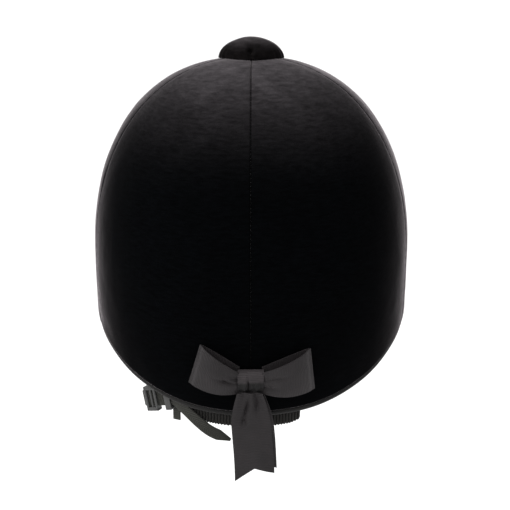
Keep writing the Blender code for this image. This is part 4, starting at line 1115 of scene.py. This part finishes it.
# ---- Chin strap ----
def loop_frame():
    """The chin strap's own plane, tucked up inside the rim: X to the wearer's left, Y down the loop."""
    turn = radians(TUCK_ANGLE)
    return basis((1, 0, 0), (0, cos(turn), sin(turn)), (0, *PIVOT))


def loop_line(start, end, count):
    """Evenly spaced points of the strap between two lengths, run from the left rivet round to the right one."""
    corner = np.array((*LOOP_CORNER, 0.0))
    bend = np.array((PIVOT_X, LOOP_STRAIGHT, 0.0))
    run = unit(corner - bend)
    control = (corner, corner + run * 0.020, np.array((0.026, LOOP_DROP, 0.0)), np.array((0.0, LOOP_DROP, 0.0)))
    half = [np.array((PIVOT_X, -STRAP_LEAD, 0.0)), np.array((PIVOT_X, 0.0, 0.0)), bend - (0, 0.003, 0)]
    half += [bend + run * 0.003 + (corner - bend - run * 0.003) * i / 8 for i in range(9)]
    for t in np.arange(1, 25) / 24:
        weights = ((1 - t) ** 3, 3 * t * (1 - t) ** 2, 3 * t * t * (1 - t), t**3)
        half.append(sum(w * p for w, p in zip(weights, control)))
    whole = np.array([*half, *[p * (-1, 1, 1) for p in reversed(half[:-1])]])
    run = steps(whole[None], 1)[0]
    return along_run(np.linspace(start, run[-1] if end is None else end, count), run, whole)


def chin_straps():
    """One loop of webbing in two parts, with the buckle between them on the left."""
    place = np.array(loop_frame())
    spans = {
        "left": (0.0, STRAP_LEAD + LOOP_STRAIGHT + SOCKET_START + SOCKET_REACH, 24),
        "right": (STRAP_LEAD + LOOP_STRAIGHT + PLUG_END - PLUG_REACH, None, 190),
    }
    for name, (start, end, count) in spans.items():
        line = loop_line(start, end, count) @ place[:3, :3].T + place[:3, 3]
        across = np.tile(place[:3, 2], (count, 1))
        face = np.cross(across, unit(np.gradient(line, axis=0)))
        section = strap_section(WEBBING_WIDTH, WEBBING)
        obj = sweep(f"chin_web_{name}", line, across, face, section, WEB, "chin_harness", sharp=40)
        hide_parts(f"chin_strap_{name}")
        # Two rows of stitches hold the folded end by the rivet.
        run = steps(line[None], 1)[0]
        sewn = run <= SEWN_END if name == "left" else run >= run[-1] - SEWN_END
        inward = face[sewn] * (-1 if np.dot(face[sewn][0], line[sewn][0]) > 0 else 1)
        for k, side in enumerate((-SEWN_ASIDE, SEWN_ASIDE)):
            row = line[sewn] + across[sewn] * side + inward * WEBBING / 2
            obj = stitches(f"chin_stitch_{name}_{k}", row, inward, *STRAP_SEWING, "chin_harness")


# ---- Padding ----
def places(obj):
    """The points of an object's mesh."""
    flat = np.empty(len(obj.data.vertices) * 3)
    obj.data.vertices.foreach_get("co", flat)
    return flat.reshape(-1, 3)


def inflate(obj, voxel, pressure, cap, frames=14):
    """Remeshes a pad's cover and lets pressure fill it out, no point going further than cap."""
    bpy.context.view_layer.objects.active = obj
    remesh = obj.modifiers.new("remesh", "REMESH")
    remesh.mode, remesh.voxel_size = "VOXEL", voxel
    bpy.ops.object.modifier_apply(modifier=remesh.name)
    before = places(obj)
    cloth = obj.modifiers.new("cloth", "CLOTH")
    cloth.settings.quality = 5
    cloth.settings.mass = 0.15
    cloth.settings.use_pressure = True
    cloth.settings.uniform_pressure_force = pressure
    cloth.settings.effector_weights.gravity = 0
    cloth.settings.tension_stiffness = cloth.settings.compression_stiffness = 25
    cloth.point_cache.frame_start, cloth.point_cache.frame_end = 1, frames
    scene = bpy.context.scene
    for step in range(1, frames + 1):
        scene.frame_set(step)
    bpy.ops.object.modifier_apply(modifier=cloth.name)
    scene.frame_set(1)
    move = places(obj) - before
    far = np.linalg.norm(move, axis=1, keepdims=True)
    return before + move * np.minimum(1, cap / np.maximum(far, 1e-9))


def finish_pad(obj, points, material, body, node):
    obj.data.vertices.foreach_set("co", points.ravel())
    obj.data.update()
    obj.data.shade_smooth()
    obj.data.materials.append(material)
    soft = obj.modifiers.new("soft", "SUBSURF")
    soft.levels = soft.render_levels = 1
    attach(obj, body)
    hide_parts(node)


def crown_pad():
    """A round pad at the crown, pinched by crossed seams."""
    centre = np.array((0.0, BUTTON_Y * 0.4, 0.0))
    turn = np.radians(np.arange(0, 360, 10))
    # Radius and height round its section, from the middle of its top to the middle of its underside.
    radii, heights = (0.004, 0.020, 0.0270, 0.0278, 0.0262, 0.004), (0.0905, 0.0900, 0.0885, 0.0876, 0.0866, 0.0864)
    points = [centre + (r * sin(t), -r * cos(t), z) for r, z in zip(radii, heights) for t in turn]
    obj = add("crown_cushion", closed_mesh("crown_cushion", points, tube_faces(len(radii), len(turn))))
    p = inflate(obj, 0.0015, 3.0, 0.0026)
    x, y, z = (p - centre).T
    seam = np.minimum(np.abs(x + y), np.abs(x - y)) / 2**0.5
    p[:, 2] += 0.0012 * bell(seam, 0.0011) * clamp((heights[0] - z) / 0.003)
    p[:, 2] = np.maximum(p[:, 2], 0.0848)
    finish_pad(obj, p, PAD_KNIT, "helmet", "crown_pad")


def headband():
    """The padded band round the inside, stuffed between upright sewn channels."""
    azimuth = np.arange(0, 360, 3.0)[None]
    levels = np.array((1.97, 1.93, 1.85, 1.7, 1.5, 1.3, 1.1, 1.0, 0.96, 0.935))[:, None]
    rounding = np.array((0.0022, 0.0008, 0.0002, 0, 0, 0, 0, 0.0002, 0.0009, 0.0022))[:, None]
    front = layer(azimuth, levels, HEADBAND[0] - rounding)
    back = layer(azimuth, levels, HEADBAND[1] + rounding * 0.2)
    points = np.concatenate([front.reshape(-1, 3), back.reshape(-1, 3)])
    faces = slab_faces(*front.shape[:2], wrap=True)
    obj = add("padded_headband", closed_mesh("padded_headband", points, faces))
    p = inflate(obj, 0.0028, 2.5, 0.0016, 10)
    out = unit(p * (1, 1, 0))
    turn = np.degrees(np.arctan2(p[:, 0], -p[:, 1])) % 360
    spacing = 360 / HEADBAND_CHANNELS
    off = np.abs((turn + spacing / 2) % spacing - spacing / 2) * pi / 180 * np.linalg.norm(p[:, :2], axis=1)
    p += out * (0.0016 * bell(off, 0.0016))[:, None] * front_side(p)[:, None]
    finish_pad(obj, p, KNIT, "helmet", "headband")


def front_side(p):
    """1 on the head's side of the band and 0 against the foam."""
    turn = round_azimuth(p[:, 0], p[:, 1])
    scale = 1 / plan_share(np.sin(np.radians(turn)), -np.cos(np.radians(turn)))
    depth = scale * nape_share(turn, p[:, 2]) - np.linalg.norm(p[:, :2], axis=1)
    return clamp((depth - 0.0222) / 0.002)


def crown_lining():
    """Quilted lining under the crown, its diamonds sewn through."""
    azimuth = np.arange(0, 360, 1.5)[None]
    levels = np.concatenate([[0.895, 0.89, 0.88], np.linspace(0.865, 0.24, 70)])[:, None]
    fall = steps(surface(azimuth, levels), 0)
    around, down = azimuth / 360 * QUILT_COLUMNS, fall / QUILT_PITCH
    puff = np.minimum(np.abs(np.sin(pi * (around + down))), np.abs(np.sin(pi * (around - down)))) ** 0.55
    rim = clamp(np.minimum(fall, fall[-1:] - fall) / 0.003)
    front = layer(azimuth, levels, LINING[0] + QUILT_PUFF * puff * rim)
    back = layer(azimuth, levels, LINING[1])
    obj = slab("quilted_lining", front, back, KNIT, grid(np.radians(azimuth) * 0.1, fall), wrap=True, sharp=0)
    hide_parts("crown_lining")


def chin_cup():
    """The soft cup on the strap, hollowed for the chin."""
    place = np.array(loop_frame())
    x = np.linspace(-1, 1, 25)[None]
    z = np.linspace(-1, 1, 11)[:, None]
    px = x * CUP_HALF_LENGTH
    pz = z * CUP_HALF_HEIGHT * (1 - 0.30 * x**2) * np.sqrt(1 - 0.75 * np.abs(x) ** 5)
    middle = LOOP_DROP - 0.0062 - CUP_BEND * px**2
    thick = CUP_THICKNESS * np.sqrt(clamp(1 - 0.8 * np.abs(z) ** 4))
    front, back = grid(px, middle - thick, pz), grid(px, middle + thick * 0.9, pz)
    points = np.concatenate([front.reshape(-1, 3), back.reshape(-1, 3)]) @ place[:3, :3].T + place[:3, 3]
    obj = add("chin_cushion", closed_mesh("chin_cushion", points, slab_faces(*front.shape[:2])))
    p = inflate(obj, 0.0012, 3.0, 0.0012)
    finish_pad(obj, p, PAD_KNIT, "chin_harness", "chin_cup")


# ---- Hardware ----
def carried_over():
    """CAD parts whose shape is right as it is, with their finishes."""
    moulded = ("buckle_socket", "buckle_plug", "buckle_prong_upper", "buckle_prong_lower", "chin_adjuster")
    rivets = ("pivot_rivet_left", "pivot_rivet_right", "nape_rivet_left", "nape_rivet_right")
    for material, slot, names in (
        (ACETAL, "buckle", moulded),
        (STEEL, "steel", ("button_stud", "button_nut", *rivets)),
        (SHELL_PLASTIC, "shell", ("button_core",)),
        (BEADS, "foam", ("peak_core",)),
    ):
        for name in names:
            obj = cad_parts[name]
            obj.data.materials.clear()
            obj.data.materials.append(material)
            obj.data.shade_smooth()
            obj.data.set_sharp_from_angle(angle=radians(32))


# ---- Studio ----
def facing(direction):
    """The turn that points a lamp or camera down a line, given the way back up it."""
    return Vector(direction).to_track_quat("Z", "Y").to_euler()


def studio():
    scene = bpy.context.scene
    scene.view_settings.view_transform = "Standard"
    # An even pale room, a little darker on the wearer's right.
    world = bpy.data.worlds.new("studio")
    world.use_nodes = True
    tree = world.node_tree
    direction = tree.nodes.new("ShaderNodeSeparateXYZ")
    tree.links.new(tree.nodes.new("ShaderNodeTexCoord").outputs["Generated"], direction.inputs[0])
    side = tree.nodes.new("ShaderNodeMapRange")
    for name, value in (("From Min", -1.0), ("From Max", 0.6), ("To Min", 0.50), ("To Max", 1.0)):
        side.inputs[name].default_value = value
    tree.links.new(direction.outputs[0], side.inputs["Value"])
    tree.links.new(side.outputs[0], tree.nodes["Background"].inputs["Strength"])
    tree.nodes["Background"].inputs["Color"].default_value = (1, 1, 1, 1)
    scene.world = world

    floor_mesh = bpy.data.meshes.new("studio_floor")
    reach, low = 40.0, -0.46
    corners = [(x * reach, y * reach, low) for x, y in ((-1, -1), (1, -1), (1, 1), (-1, 1))]
    floor_mesh.from_pydata(corners, [], [(0, 1, 2, 3)])
    floor = add("studio_floor", floor_mesh)
    pale = Finish("pale_floor")
    colour = pale.mix(pale.noise(1.5), (0.93, 0.93, 0.93), (0.96, 0.96, 0.96))
    pale.set(Base_Color=colour, Roughness=0.8, Specular_IOR_Level=0.1)
    floor_mesh.materials.append(pale.material)

    for name, place, aim, size, power in (
        ("left", (1.10, -0.10, 0.45), (0, 0, 0.02), 0.7, 5.0),
        ("front", (0.35, 1.20, 0.65), (0, 0.1, -0.03), 0.6, 5.0),
    ):
        light = bpy.data.lights.new(name, "AREA")
        light.shape, light.size, light.energy = "SQUARE", size, power
        lamp = add(name, light)
        lamp.location, lamp.rotation_euler = place, facing(Vector(place) - Vector(aim))
    sun = bpy.data.lights.new("overhead", "SUN")
    sun.energy, sun.angle = 1.3, radians(50)
    add("overhead", sun).rotation_euler = facing((0.25, 0.30, 1.0))

    camera = bpy.data.cameras.new("camera")
    camera.lens, camera.sensor_width, camera.clip_start = 90, 36, 0.01
    eye = add("camera", camera)
    aim, tilt, distance = Vector((-0.0025, 0.0028, -0.00977)), radians(16), 0.8639
    back = Vector((0, cos(tilt), sin(tilt)))
    eye.location, eye.rotation_euler = aim + back * distance, facing(back)
    scene.camera = eye


studio()
hard_shell()
velvet_cover()
edge_binding()
top_button()
peak()
bow()
nape_elastic()
nape_straps()
nape_fittings()
nape_tongue()
chin_straps()
crown_lining()
headband()
crown_pad()
chin_cup()
carried_over()
